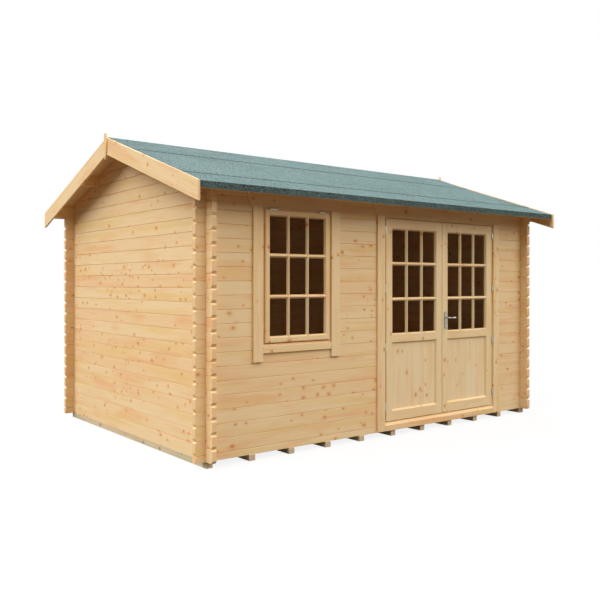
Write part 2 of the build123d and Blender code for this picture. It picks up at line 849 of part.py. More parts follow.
def door_lever():
    """Both levers and the square spindle that joins them through the leaf."""
    x, _, z = spindle_point()
    half = spindle_side / 2
    spindle = block(x - half, x + half, leaf_face - 1, leaf_back + 1, z - half, z + half)
    outside = lever_side(leaf_face - seat_gap, -1)
    inside = lever_side(leaf_back + seat_gap, 1)
    return outside + spindle + inside


# ---- Nodes ---------------------------------------------------------------------------------------
head_board_foot = head_foot + trim_margin

nodes = {
    "bearers": bearers(),
    "floor": floor(),
    "front_foot_log": front_foot_log,
    "front_wall_under_window": front_wall_under_window,
    "front_wall_left": front_wall_left,
    "front_wall_pier": front_wall_pier,
    "front_wall_right": front_wall_right,
    "front_wall_top": front_wall_top,
    "back_wall": back_wall,
    "left_wall": left_wall,
    "right_wall": right_wall,
    "left_gable": left_gable,
    "right_gable": right_gable,
    "purlins": purlins(),
    "front_roof_boards": [roof_boards(-1)],
    "back_roof_boards": [roof_boards(1)],
    "eave_strips": [eave_strip(-1), eave_strip(1)],
    "ridge_felt": [ridge_felt()],
    "front_felt": [middle_felt(-1), eave_felt(-1)],
    "back_felt": [middle_felt(1), eave_felt(1)],
    "left_barge_boards": barge_boards(-1),
    "right_barge_boards": barge_boards(1),
    "finials": [finial(-1), finial(1)],
    "window_frame": opening_frame(
        window_x, window_clear, window_opening_foot, window_sill_top, head_foot, window_stop
    ),
    "window_sash": [window_sash()],
    "window_glass": [infill(sash_field, sash_face, glass_thickness)],
    "window_hinges": window_hinges(),
    "window_trims": face_trims(
        window_x, window_clear, window_opening_foot - window_trim_drop, head_board_foot - joint_gap
    ),
    "window_sill_board": [window_sill_board()],
    "window_head_board": [head_board(window_x, window_clear, head_board_foot)],
    "door_frame": door_frame(),
    "door_trims": face_trims(
        doors_x, doors_clear, wall_foot + threshold_foot, head_board_foot - joint_gap
    ),
    "door_head_board": [head_board(doors_x, doors_clear, head_board_foot)],
    "door_threshold": [door_threshold()],
    "door_hinge_pins": hinge_pins(),
    "door_handle_plates": [
        handle_plate(leaf_face - seat_gap, -1), handle_plate(leaf_back + seat_gap, 1)
    ],
    "door_lever": [door_lever()],
}
for name, side in (("left", -1), ("right", 1)):
    panel, glass = leaf_fields(side)
    nodes[f"{name}_door"] = [door_leaf(side)]
    nodes[f"{name}_door_panel"] = [infill(panel, leaf_face, panel_thickness)]
    nodes[f"{name}_door_glass"] = [infill(glass, leaf_face, glass_thickness)]
    nodes[f"{name}_hinge_sleeves"] = hinge_sleeves(side)

os.makedirs("parts", exist_ok=True)
for name, shapes in nodes.items():
    export_step(Compound(children=solids_of(*shapes)), f"parts/{name}.step")
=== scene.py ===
"""Log cabin: the finishes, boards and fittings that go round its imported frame.

Lengths are in metres. +X runs along the front to the right, the front faces -Y, and +Z is up.
"""

from __future__ import annotations

import logging
import math
from dataclasses import dataclass
from enum import Enum
from itertools import product
from typing import Any, Sequence

import bmesh
import bpy
import numpy as np
from bpy.types import Material, Node, NodeSocket, NodeTree, Object
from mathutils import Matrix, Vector


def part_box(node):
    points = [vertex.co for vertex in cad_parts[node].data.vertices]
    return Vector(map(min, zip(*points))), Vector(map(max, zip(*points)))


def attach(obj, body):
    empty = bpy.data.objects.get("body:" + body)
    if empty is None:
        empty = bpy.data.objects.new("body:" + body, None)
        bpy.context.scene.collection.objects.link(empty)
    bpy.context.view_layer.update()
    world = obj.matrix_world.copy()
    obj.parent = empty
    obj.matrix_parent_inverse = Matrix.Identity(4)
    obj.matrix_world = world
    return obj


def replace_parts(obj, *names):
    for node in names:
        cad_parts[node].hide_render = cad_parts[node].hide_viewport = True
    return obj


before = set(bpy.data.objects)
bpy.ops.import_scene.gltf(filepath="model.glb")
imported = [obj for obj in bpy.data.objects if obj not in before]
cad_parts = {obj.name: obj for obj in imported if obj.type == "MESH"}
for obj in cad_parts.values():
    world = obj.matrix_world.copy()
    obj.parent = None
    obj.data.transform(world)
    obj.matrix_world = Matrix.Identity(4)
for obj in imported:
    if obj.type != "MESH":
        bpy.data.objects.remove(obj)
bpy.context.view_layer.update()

log = logging.getLogger("log cabin")

Colour = tuple[float, float, float]
Feed = Any  # a socket to join, or a value to set
Surface = tuple[np.ndarray, list[list[int]]]  # the points, and the point numbers of each face

X, Y, Z = np.eye(3)
SLANT = np.array([0.6, 0.8, 0.0])  # level, and along no axis
COURSE = 0.114  # height of a log
WALL_FOOT = 0.050  # where the side walls' lowest logs start
PITCH = math.radians(18.8)
DECK = 0.019  # thickness of the roof's boards
PLAY = 0.0002  # left between boards, and between a hinge's parts
WIDE = 4.0  # wider than any board
OUTSIDE = -3.0  # short of every board that is numbered across the cabin
END_STEPS = (0.75, 0.9)  # how squarely a face cuts the grain, from not at all to an end
WELD = 0.00002  # corners nearer than this are one
FLAT = math.radians(0.5)  # faces nearer than this to one plane are joined
CORNER = math.radians(28)  # edges sharper than this are eased
SMOOTH = math.radians(38)  # edges sharper than this stay sharp on a smooth piece


def linear(red: float, green: float, blue: float) -> Colour:
    """The shader's colour for one written in display values from 0 to 1."""
    return tuple(c / 12.92 if c <= 0.04045 else ((c + 0.055) / 1.055) ** 2.4 for c in (red, green, blue))


# ---- Shader trees --------------------------------------------------------------------------------
class Graph:
    """Adds and joins the nodes of one shader tree."""

    def __init__(self, tree: NodeTree) -> None:
        """Takes the tree that the nodes go into."""
        self.tree = tree

    def feed(self, socket: NodeSocket, value: Feed) -> None:
        """Joins a socket to another, or sets its value."""
        if isinstance(value, NodeSocket):
            self.tree.links.new(value, socket)
        elif isinstance(value, tuple) and len(value) == 3 and socket.type == "RGBA":
            socket.default_value = (*value, 1.0)
        else:
            socket.default_value = value

    def node(self, kind: str, inputs: dict[Any, Feed] | None = None, **settings: Any) -> Node:
        """Adds a node.

        Args:
            kind: the node's type, without the ShaderNode that it starts with.
            inputs: a value or socket for each named input.
            settings: the node's own properties.

        Returns:
            The node.
        """
        made = self.tree.nodes.new("ShaderNode" + kind)
        for name, value in settings.items():
            setattr(made, name, value)
        for name, value in (inputs or {}).items():
            self.feed(made.inputs[name], value)
        return made

    def math(self, operation: str, *values: Feed, clamp: bool = False) -> NodeSocket:
        """The result of a Math node."""
        return self.node("Math", dict(enumerate(values)), operation=operation, use_clamp=clamp).outputs[0]

    def times(self, first: Feed, second: Feed) -> NodeSocket:
        """The product of two values."""
        return self.math("MULTIPLY", first, second)

    def total(self, first: Feed, *terms: tuple[Feed, float], clamp: bool = False) -> NodeSocket:
        """The first value plus each term's value times its weight, held within 0 and 1 if clamp says so."""
        for number, (value, weight) in enumerate(terms, 1):
            share = value if weight == 1 else self.times(value, weight)
            first = self.math("ADD", first, share, clamp=clamp and number == len(terms))
        return first

    def vector(self, operation: str, *values: Feed) -> NodeSocket:
        """The vector result of a Vector Math node."""
        return self.node("VectorMath", dict(enumerate(values)), operation=operation).outputs[0]

    def ramp(self, value: Feed, low: float, high: float, start: float = 0.0, end: float = 1.0) -> NodeSocket:
        """A smooth step from start to end as the value goes from low to high."""
        inputs = {"Value": value, "From Min": low, "From Max": high, "To Min": start, "To Max": end}
        return self.node("MapRange", inputs, interpolation_type="SMOOTHSTEP").outputs[0]

    def mix(self, share: Feed, under: Feed, over: Feed, kind: str = "MIX") -> NodeSocket:
        """One colour laid over another."""
        made = self.node("Mix", {0: share, 6: under, 7: over}, data_type="RGBA", blend_type=kind)
        return made.outputs[2]

    def shaded(self, colour: Feed, shade: NodeSocket) -> NodeSocket:
        """A colour times a grey."""
        return self.mix(1.0, colour, self.join(shade, shade, shade), "MULTIPLY")

    def pick(self, share: Feed, under: Feed, over: Feed) -> NodeSocket:
        """One vector or the other, by a share."""
        return self.node("Mix", {0: share, 4: under, 5: over}, data_type="VECTOR").outputs[1]

    def parts(self, vector: Feed) -> tuple[NodeSocket, NodeSocket, NodeSocket]:
        """The three parts of a vector."""
        return tuple(self.node("SeparateXYZ", {0: vector}).outputs)

    def join(self, x: Feed, y: Feed, z: Feed) -> NodeSocket:
        """A vector from its three parts."""
        return self.node("CombineXYZ", {0: x, 1: y, 2: z}).outputs[0]

    def noise(self, vector: Feed, scale: float, detail: float = 2.0, rough: float = 0.5) -> NodeSocket:
        """Noise from 0 to 1."""
        inputs = {"Vector": vector, "Scale": scale, "Detail": detail, "Roughness": rough}
        return self.node("TexNoise", inputs).outputs[0]

    def stretched(self, place: Feed, scales: Colour, detail: float = 2.0, rough: float = 0.5) -> NodeSocket:
        """Noise with a scale of its own in each direction."""
        return self.noise(self.vector("MULTIPLY", place, scales), 1.0, detail, rough)

    def bump(self, shader: Node, height: Feed, strength: float, distance: float) -> None:
        """Raises a shader's surface by a height."""
        inputs = {"Height": height, "Strength": strength, "Distance": distance}
        self.feed(shader.inputs["Normal"], self.node("Bump", inputs).outputs[0])


class Effect:
    """A node group that several finishes share. It is built once."""

    name = ""
    inputs: dict[str, str] = {}
    outputs: dict[str, str] = {}

    def build(self, graph: Graph, given: dict[str, NodeSocket]) -> dict[str, NodeSocket]:
        """Fills the group.

        Args:
            graph: the group's own tree.
            given: the group's inputs by name.

        Returns:
            The socket for each output.
        """
        raise NotImplementedError

    def place(self, graph: Graph, **values: Feed) -> dict[str, NodeSocket]:
        """Puts the group into a material's tree.

        Args:
            graph: the material's tree.
            values: a value or socket for each input.

        Returns:
            The group's outputs by name.
        """
        tree = bpy.data.node_groups.get(self.name) or self._make()
        made = graph.node("Group", node_tree=tree)
        for name, value in values.items():
            graph.feed(made.inputs[name], value)
        return {socket.name: socket for socket in made.outputs}

    def _make(self) -> NodeTree:
        """Builds the group's tree with its sockets."""
        tree = bpy.data.node_groups.new(self.name, "ShaderNodeTree")
        for way, sockets in (("INPUT", self.inputs), ("OUTPUT", self.outputs)):
            for name, kind in sockets.items():
                tree.interface.new_socket(name, in_out=way, socket_type="NodeSocket" + kind)
        start = tree.nodes.new("NodeGroupInput")
        end = tree.nodes.new("NodeGroupOutput")
        given = {name: start.outputs[name] for name in self.inputs}
        for name, socket in self.build(Graph(tree), given).items():
            tree.links.new(socket, end.inputs[name])
        return tree


@dataclass(frozen=True)
class KnotMasks:
    """The nearest knot, as a point of the timber sees it.

    rim is the distance to it in its own radii, there is 1 if it shows at all, and kind holds its three random
    numbers. core, ring and halo mask its heart, the dark ring at its edge and the wood that bends round it.
    """

    rim: NodeSocket
    there: NodeSocket
    kind: tuple[NodeSocket, NodeSocket, NodeSocket]
    core: NodeSocket
    ring: NodeSocket
    halo: NodeSocket


class TimberGrain(Effect):
    """Softwood: growth lines that bend round knots, warm streaks and a tone for each board.

    Position has the grain along X, the board's thickness along Y and its width along Z. A name that ends in
    steps holds the two values that a mask runs between, and then its own values there if they aren't 0 and 1.
    """

    name = "timber_grain"
    inputs = {
        "Position": "Vector", "Board": "Float", "End": "Float", "Knots": "Float",
        "Pale": "Color", "Warm": "Color", "Gold": "Color", "Knot": "Color",
    }
    outputs = {"Color": "Color", "Height": "Float", "Roughness": "Float"}

    board_shift = (37.0, 0.0, 19.0)
    knot_scale = 13.0
    knot_length = 0.65
    knot_radii = (0.06, 0.14)
    whorl_scales = (4.2, 0.0, 1.2)
    whorl_steps = (0.48, 0.64, 0.16, 1.5)
    board_steps = (0.0, 1.0, 0.5, 1.7)
    core_steps = (0.4, 1.3, 1.0, 0.0)
    ring_in_steps = (0.6, 1.0)
    ring_out_steps = (1.0, 1.5, 1.0, 0.0)
    halo_steps = (0.8, 4.5, 1.0, 0.0)
    amber_steps = (0.8, 3.4, 0.5, 0.0)
    heart_brown = linear(0.66, 0.41, 0.22)
    ring_brown = linear(0.55, 0.32, 0.14)
    heart_change, heart_cover = 0.4, 0.8
    ring_change, ring_cover = 0.5, 0.5
    amber_change = 0.45

    lines_each_metre = 30.0
    lines_bend = 1.2
    fine_lines = 5.3
    swirl_scales = (0.55, 4.0, 7.0)
    swirl_reach = 7.0
    fine_detail = (3.0, 0.6)
    fibre_scales = (5.0, 160.0, 160.0)
    streak_scales = (1.3, 9.0, 24.0)
    streak_steps = (0.52, 0.75)
    cloud_scales = (1.6, 5.0, 8.0)
    cloud_steps = (0.50, 0.72, -0.1, 0.45)
    gilt_scales = (0.9, 7.0, 13.0)
    gilt_shift = (7.0, 3.0, 5.0)
    gilt_steps = (0.48, 0.70, 0.0, 0.75)
    board_warmth, streak_warmth, broad_warmth, fine_warmth, halo_warmth = 0.45, 0.6, 0.07, 0.05, 0.25
    fibre_shade, shade_floor = 0.16, 0.92
    fibre_height, fine_height, ring_height = 0.6, 0.12, -0.5

    pith_reach = 0.09
    end_rings = 1300.0
    end_steps = (-1.0, 1.0, 0.2, 0.6)
    end_warmth = 0.45
    plain_roughness = 0.66
    knot_gloss = 0.14

    def build(self, graph: Graph, given: dict[str, NodeSocket]) -> dict[str, NodeSocket]:
        """Growth lines are a sine of the width plus noise, lifted round each knot by a smooth bump."""
        chance = graph.node("TexWhiteNoise", {"W": given["Board"]}, noise_dimensions="1D")
        shift = graph.vector("MULTIPLY", chance.outputs["Color"], self.board_shift)
        place = graph.vector("ADD", given["Position"], shift)
        knots = self._knots(graph, place, given["Knots"], graph.parts(chance.outputs["Color"])[1])

        width = graph.parts(place)[2]
        swirl = graph.stretched(place, self.swirl_scales)
        lines = graph.total(graph.times(width, self.lines_each_metre), (swirl, self.swirl_reach),
                            (knots.halo, self.lines_bend))
        broad = graph.math("SINE", graph.times(lines, math.tau))
        fine = graph.math("SINE", graph.times(lines, math.tau * self.fine_lines))
        fibre = graph.stretched(place, self.fibre_scales, *self.fine_detail)
        streak = graph.stretched(place, self.streak_scales, *self.fine_detail)
        cloud = graph.stretched(place, self.cloud_scales, 1.0)
        gilt = graph.noise(graph.vector("ADD", graph.vector("MULTIPLY", place, self.gilt_scales),
                                        self.gilt_shift), 1.0)

        warmth = graph.total(
            graph.times(chance.outputs["Value"], self.board_warmth), (graph.ramp(cloud, *self.cloud_steps), 1),
            (graph.ramp(streak, *self.streak_steps), self.streak_warmth), (broad, self.broad_warmth),
            (fine, self.fine_warmth), (knots.halo, self.halo_warmth), clamp=True,
        )
        colour = graph.mix(warmth, given["Pale"], given["Warm"])
        colour = graph.mix(graph.ramp(gilt, *self.gilt_steps), colour, given["Gold"])
        colour = graph.shaded(colour, graph.math("ADD", graph.times(fibre, self.fibre_shade), self.shade_floor))
        colour = self._stain(graph, given, knots, colour)
        colour = graph.mix(given["End"], colour, self._end_grain(graph, given, chance.outputs["Value"], warmth))

        height = graph.total(graph.times(fibre, self.fibre_height), (fine, self.fine_height),
                             (knots.ring, self.ring_height))
        rough = graph.math("SUBTRACT", self.plain_roughness, graph.times(knots.core, self.knot_gloss))
        return {"Color": colour, "Height": height, "Roughness": rough}

    def _knots(self, graph: Graph, place: NodeSocket, share: NodeSocket, board: NodeSocket) -> KnotMasks:
        """A knot sits in each cell of a pattern that is drawn out along the grain, if its chance is low enough.

        Args:
            graph: the group's tree.
            place: the position on this board's own stretch of wood.
            share: how many of the cells have a knot.
            board: a random number for the board.

        Returns:
            The masks.
        """
        run, _, width = graph.parts(place)
        flat = graph.join(graph.times(run, self.knot_length), width, 0.0)
        cells = graph.node("TexVoronoi", {"Vector": flat, "Scale": self.knot_scale}, voronoi_dimensions="2D")
        kind = graph.parts(cells.outputs["Color"])
        whorl = graph.stretched(place, self.whorl_scales, 1.0)
        there = graph.times(share, graph.ramp(whorl, *self.whorl_steps))
        there = graph.times(there, graph.ramp(board, *self.board_steps))
        there = graph.math("LESS_THAN", kind[0], there)
        low, high = self.knot_radii
        inputs = {"Value": graph.times(kind[1], kind[1]), "To Min": low, "To Max": high}
        rim = graph.math("DIVIDE", cells.outputs["Distance"], graph.node("MapRange", inputs).outputs[0])
        core = graph.times(graph.ramp(rim, *self.core_steps), there)
        ring = graph.times(graph.ramp(rim, *self.ring_in_steps), graph.ramp(rim, *self.ring_out_steps))
        ring = graph.times(ring, graph.times(there, kind[2]))
        halo = graph.times(graph.ramp(rim, *self.halo_steps), there)
        return KnotMasks(rim, there, kind, core, ring, halo)

    def _stain(self, graph: Graph, given: dict[str, NodeSocket], knots: KnotMasks,
               colour: NodeSocket) -> NodeSocket:
        """The wood's colour with amber round each knot, a brown heart and a dark ring laid over it."""
        amber = graph.mix(self.amber_change, given["Gold"], given["Knot"])
        around = graph.times(graph.ramp(knots.rim, *self.amber_steps), knots.there)
        colour = graph.mix(around, colour, amber)
        brown = graph.mix(graph.times(knots.kind[2], self.heart_change), given["Knot"], self.heart_brown)
        colour = graph.mix(graph.times(knots.core, self.heart_cover), colour, brown)
        dark = graph.mix(self.ring_change, given["Knot"], self.ring_brown)
        return graph.mix(graph.times(knots.ring, self.ring_cover), colour, dark)

    def _end_grain(self, graph: Graph, given: dict[str, NodeSocket], chance: NodeSocket,
                   warmth: NodeSocket) -> NodeSocket:
        """Rings round a pith that stands off the board's middle: a sine of the distance from it."""
        _, thick, wide = graph.parts(given["Position"])
        pith = graph.times(graph.math("FRACT", chance), self.pith_reach)
        middle = graph.join(0.0, graph.math("ADD", thick, pith), graph.math("ADD", wide, pith))
        radius = graph.node("VectorMath", {0: middle}, operation="LENGTH").outputs["Value"]
        rings = graph.ramp(graph.math("SINE", graph.times(radius, self.end_rings)), *self.end_steps)
        plain = graph.mix(graph.times(warmth, self.end_warmth), given["Pale"], given["Warm"])
        return graph.mix(rings, plain, given["Warm"])


class Seam(Effect):
    """Line of dust and painted shade where one course meets the next: 1 on the joint, 0 a few millimetres off it.
    """

    name = "course_seam"
    inputs = {"Height": "Float", "Start": "Float", "Reach": "Float"}
    outputs = {"Mask": "Float"}

    steps = (0.35, 1.0, 1.0, 0.0)

    def build(self, graph: Graph, given: dict[str, NodeSocket]) -> dict[str, NodeSocket]:
        """The distance to the nearest multiple of a course above the start, stepped down smoothly."""
        courses = graph.math("DIVIDE", graph.math("SUBTRACT", given["Height"], given["Start"]), COURSE)
        off = graph.math("ABSOLUTE", graph.math("SUBTRACT", courses, graph.math("ROUND", courses)))
        share = graph.math("DIVIDE", graph.times(off, COURSE), given["Reach"])
        return {"Mask": graph.ramp(share, *self.steps)}


class Granules(Effect):
    """Mineral granules: a cell of random tone for each, in soft clusters."""

    name = "felt_granules"
    inputs = {"Position": "Vector", "Dark": "Color", "Light": "Color"}
    outputs = {"Color": "Color", "Height": "Float"}

    granule_scale = 260.0
    patch_scale = 75.0
    patch_detail = (2.0, 0.7)
    wash_scale = 2.2
    tone_share, patch_share, wash_share = 0.6, 1.9, 0.3
    tone_steps = (0.9, 1.75)
    roundness = 1.2

    def build(self, graph: Graph, given: dict[str, NodeSocket]) -> dict[str, NodeSocket]:
        """Each cell's random tone is added to a noise of about a centimetre and a wide, faint one."""
        cells = graph.node("TexVoronoi", {"Vector": given["Position"], "Scale": self.granule_scale})
        tone = graph.parts(cells.outputs["Color"])[0]
        patch = graph.noise(given["Position"], self.patch_scale, *self.patch_detail)
        wash = graph.noise(given["Position"], self.wash_scale)
        light = graph.total(graph.times(tone, self.tone_share), (patch, self.patch_share), (wash, self.wash_share))
        colour = graph.mix(graph.ramp(light, *self.tone_steps), given["Dark"], given["Light"])
        height = graph.math("SUBTRACT", 1.0, graph.times(cells.outputs["Distance"], self.roundness))
        return {"Color": colour, "Height": height}


# ---- Finishes ------------------------------------------------------------------------------------
class Lie(Enum):
    """How a timber lies, so that its grain runs along it."""

    ALONG_X = "along the front"
    ALONG_Y = "front to back"
    UPRIGHT = "upright"
    BARGE = "up the slope, flat against the gable"
    DECK = "up the slope, lying on it"

    def position(self, graph: Graph, place: NodeSocket) -> NodeSocket:
        """The place turned so that X is the grain, Y the thickness and Z the width."""
        x, y, z = graph.parts(place)
        if self is Lie.ALONG_X:
            return place
        if self is Lie.ALONG_Y:
            return graph.join(y, x, z)
        if self is Lie.UPRIGHT:
            return graph.join(z, y, x)
        flat = graph.math("ABSOLUTE", y)
        run = graph.math("SUBTRACT", graph.times(z, math.sin(PITCH)), graph.times(flat, math.cos(PITCH)))
        rise = graph.math("ADD", graph.times(z, math.cos(PITCH)), graph.times(flat, math.sin(PITCH)))
        return graph.join(run, x, rise) if self is Lie.BARGE else graph.join(run, rise, x)

    def end(self, graph: Graph, normal: NodeSocket) -> NodeSocket:
        """1 on the faces that cut across the grain."""
        axis = {Lie.ALONG_X: 0, Lie.UPRIGHT: 2}.get(self, 1)
        return graph.ramp(graph.math("ABSOLUTE", graph.parts(normal)[axis]), *END_STEPS)


class Seed(float, Enum):
    """Where each timber's own run of board numbers starts, so that no two timbers share a tone."""

    FRONT_WALLS = 40.0
    SIDE_WALLS = 400.0
    TONGUES = 480.0
    BEARERS = 700.0
    FLOOR = 760.0
    PURLINS = 800.0
    EAVE_STRIPS = 820.0
    BARGES = 840.0
    FINIALS = 860.0
    DECKS = 900.0
    SASH = 1200.0
    WINDOW_FRAME = 1240.0
    WINDOW_TRIMS = 1261.0
    WINDOW_BOARDS = 1280.0
    LEAVES = 1400.0
    PANELS = 1500.0
    DOOR_FRAME = 1560.0
    DOOR_TRIMS = 1581.0
    DOOR_BOARDS = 1600.0


@dataclass(frozen=True)
class Boards:
    """How a surface divides into boards, each with a tone of its own."""

    axis: int = 2
    width: float = 10.0
    start: float = -5.0
    seed: float = 0.0

    def number(self, graph: Graph, place: NodeSocket) -> NodeSocket:
        """Which board a point is on."""
        along = graph.math("SUBTRACT", graph.parts(place)[self.axis], self.start)
        return graph.math("ADD", graph.math("FLOOR", graph.math("DIVIDE", along, self.width)), self.seed)


@dataclass(frozen=True)
class Tone:
    """Colours of a timber: its pale wood, its warm and its golden streaks, and its knots."""

    pale: Colour
    warm: Colour
    gold: Colour
    knot: Colour


AMBER = linear(0.88, 0.51, 0.24)
PINE = Tone(linear(0.955, 0.830, 0.635), linear(0.935, 0.725, 0.510), linear(0.930, 0.785, 0.520), AMBER)
JOINERY = Tone(linear(0.957, 0.840, 0.648), linear(0.942, 0.745, 0.535), linear(0.940, 0.805, 0.555), AMBER)
PANELLING = Tone(linear(0.960, 0.862, 0.690), linear(0.945, 0.775, 0.580), linear(0.940, 0.825, 0.595), AMBER)
TREATED = Tone(linear(0.86, 0.78, 0.64), linear(0.77, 0.65, 0.50), linear(0.74, 0.73, 0.57),
               linear(0.38, 0.36, 0.24))


def new_material(name: str) -> tuple[Material, Graph, Node]:
    """An empty material.

    Returns:
        The material, its tree and its Principled shader.
    """
    made = bpy.data.materials.new(name)
    made.use_nodes = True
    graph = Graph(made.node_tree)
    return made, graph, made.node_tree.nodes["Principled BSDF"]


@dataclass(frozen=True)
class Timber:
    """Planed softwood on one set of boards, with a faint line of dust and painted shade along its joints if a seam
    starts them.
    """

    name: str
    lie: Lie
    boards: Boards = Boards()
    tone: Tone = PINE
    knots: float = 0.48
    seam_start: float | None = None
    seam_reach: float = 0.0034
    # colour that the joints' dust and painted shade multiply the wood by
    joint_dust_and_shade: Colour = linear(0.95, 0.885, 0.80)
    bump: tuple[float, float] = (0.35, 0.0006)
    gloss: float = 0.3

    def material(self) -> Material:
        """The finish as a material."""
        made, graph, shader = new_material(self.name)
        place = graph.node("TexCoord")
        position, number = self.grain(graph, place.outputs["Object"])
        wood = TimberGrain().place(
            graph, Position=position, Board=number, End=self.lie.end(graph, place.outputs["Normal"]),
            Knots=self.knots, Pale=self.tone.pale, Warm=self.tone.warm, Gold=self.tone.gold, Knot=self.tone.knot,
        )
        colour = wood["Color"]
        if self.seam_start is not None:
            height = graph.parts(place.outputs["Object"])[2]
            line = Seam().place(graph, Height=height, Start=self.seam_start, Reach=self.seam_reach)
            # dust and painted shade darken the wood along each joint between courses
            seam_dust_and_shade = graph.mix(1.0, colour, self.joint_dust_and_shade, "MULTIPLY")
            colour = graph.mix(line["Mask"], colour, seam_dust_and_shade)
        graph.feed(shader.inputs["Base Color"], colour)
        graph.feed(shader.inputs["Roughness"], wood["Roughness"])
        graph.bump(shader, wood["Height"], *self.bump)
        shader.inputs["Specular IOR Level"].default_value = self.gloss
        return made

    def grain(self, graph: Graph, place: NodeSocket) -> tuple[NodeSocket, NodeSocket]:
        """The grain's position and the board's number at a place."""
        return self.lie.position(graph, place), self.boards.number(graph, place)


@dataclass(frozen=True)
class Joinery(Timber):
    """A frame of upright stiles with rails between them, each with its grain along itself."""

    middle: float = 0.0
    between: float = 0.0
    rails: tuple[tuple[float, float], ...] = ()
    rail_step: float = 3.0

    def grain(self, graph: Graph, place: NodeSocket) -> tuple[NodeSocket, NodeSocket]:
        """Between the stiles and within a rail's band of heights, the grain lies along X."""
        x, _, z = graph.parts(place)
        off = graph.math("ABSOLUTE", graph.math("SUBTRACT", x, self.middle))
        inside = graph.math("LESS_THAN", off, self.between / 2)
        rail: Feed = 0.0
        for number, (foot, top) in enumerate(self.rails, 1):
            off = graph.math("ABSOLUTE", graph.math("SUBTRACT", z, (foot + top) / 2))
            within = graph.math("LESS_THAN", off, (top - foot) / 2)
            rail = graph.math("ADD", rail, graph.times(within, float(number)))
        rail = graph.times(rail, inside)
        on_rail = graph.math("GREATER_THAN", rail, 0.5)
        position = graph.pick(on_rail, Lie.UPRIGHT.position(graph, place), place)
        side = graph.math("ADD", graph.math("GREATER_THAN", x, self.middle), self.boards.seed)
        return position, graph.math("ADD", graph.times(rail, self.rail_step), side)


@dataclass(frozen=True)
class Felt:
    """Green mineral-faced roofing felt, with painted shade down its folded edge: its upright faces take darker
    colours.
    """

    name: str = "mineral_felt"
    light: Colour = linear(0.49, 0.59, 0.585)
    dark: Colour = linear(0.155, 0.24, 0.24)
    # darker colours on the upright faces: painted shade down the folded edge
    fold_shade_light: Colour = linear(0.375, 0.445, 0.425)
    fold_shade_dark: Colour = linear(0.09, 0.13, 0.12)
    fold_shade_steps: tuple[float, float] = (0.3, 0.7)
    bump: tuple[float, float] = (0.7, 0.0012)
    roughness: float = 0.92
    gloss: float = 0.25

    def material(self) -> Material:
        """The finish as a material."""
        made, graph, shader = new_material(self.name)
        place = graph.node("TexCoord")
        where = place.outputs["Object"]
        top = Granules().place(graph, Position=where, Dark=self.dark, Light=self.light)
        fold_shade = Granules().place(graph, Position=where, Dark=self.fold_shade_dark, Light=self.fold_shade_light)
        # painted shade: faces that stand upright take the darker fold colours
        level = graph.math("ABSOLUTE", graph.parts(place.outputs["Normal"])[2])
        colour = graph.mix(graph.ramp(level, *self.fold_shade_steps), fold_shade["Color"], top["Color"])
        graph.feed(shader.inputs["Base Color"], colour)
        graph.bump(shader, top["Height"], *self.bump)
        shader.inputs["Roughness"].default_value = self.roughness
        shader.inputs["Specular IOR Level"].default_value = self.gloss
        return made


@dataclass(frozen=True)
class Glass:
    """Pane that shows the dark room behind it."""

    name: str
    tint: Colour = linear(0.81, 0.765, 0.72)
    roughness: float = 0.02
    bend: float = 1.04

    def material(self) -> Material:
        """The finish as a material."""
        made, graph, shader = new_material(self.name)
        graph.feed(shader.inputs["Base Color"], self.tint)
        shader.inputs["Roughness"].default_value = self.roughness
        shader.inputs["IOR"].default_value = self.bend
        shader.inputs["Transmission Weight"].default_value = 1.0
        return made


@dataclass(frozen=True)
class Metal:
    """Plated or satin metal with a fine brushed variation."""

    name: str
    colour: Colour
    roughness: float
    brush_scales: Colour = (260.0, 260.0, 900.0)
    brush: float = 0.16
    cloud_scale: float = 60.0
    cloud_steps: tuple[float, float, float, float] = (0.2, 0.8, 0.88, 1.0)

    def material(self) -> Material:
        """The finish as a material."""
        made, graph, shader = new_material(self.name)
        place = graph.node("TexCoord").outputs["Object"]
        brushed = graph.stretched(place, self.brush_scales)
        rough = graph.math("ADD", graph.times(brushed, self.brush), self.roughness - self.brush / 2)
        graph.feed(shader.inputs["Roughness"], rough)
        shade = graph.ramp(graph.noise(place, self.cloud_scale), *self.cloud_steps)
        graph.feed(shader.inputs["Base Color"], graph.shaded(self.colour, shade))
        shader.inputs["Metallic"].default_value = 1.0
        return made


HINGE_PLATE = Metal("zinc_plate", linear(0.72, 0.70, 0.63), 0.5)
HINGE_ZINC = Metal("bright_zinc", linear(0.66, 0.66, 0.63), 0.42)
SCREW_ZINC = Metal("screw_zinc", linear(0.72, 0.68, 0.58), 0.5)
HANDLE_PLATE = Metal("satin_plate", linear(0.62, 0.63, 0.60), 0.36)
HANDLE_GRIP = Metal("satin_nickel", linear(0.66, 0.64, 0.60), 0.18)
# dark metal for the painted shade in the keyhole and in the screws' slots
KEYHOLE = Metal("keyhole_shade", linear(0.10, 0.09, 0.08), 0.7)


# ---- Meshes --------------------------------------------------------------------------------------
def corners(node: str) -> tuple[np.ndarray, np.ndarray]:
    """A frame node's lowest and highest corners."""
    low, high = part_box(node)
    return np.array(low), np.array(high)


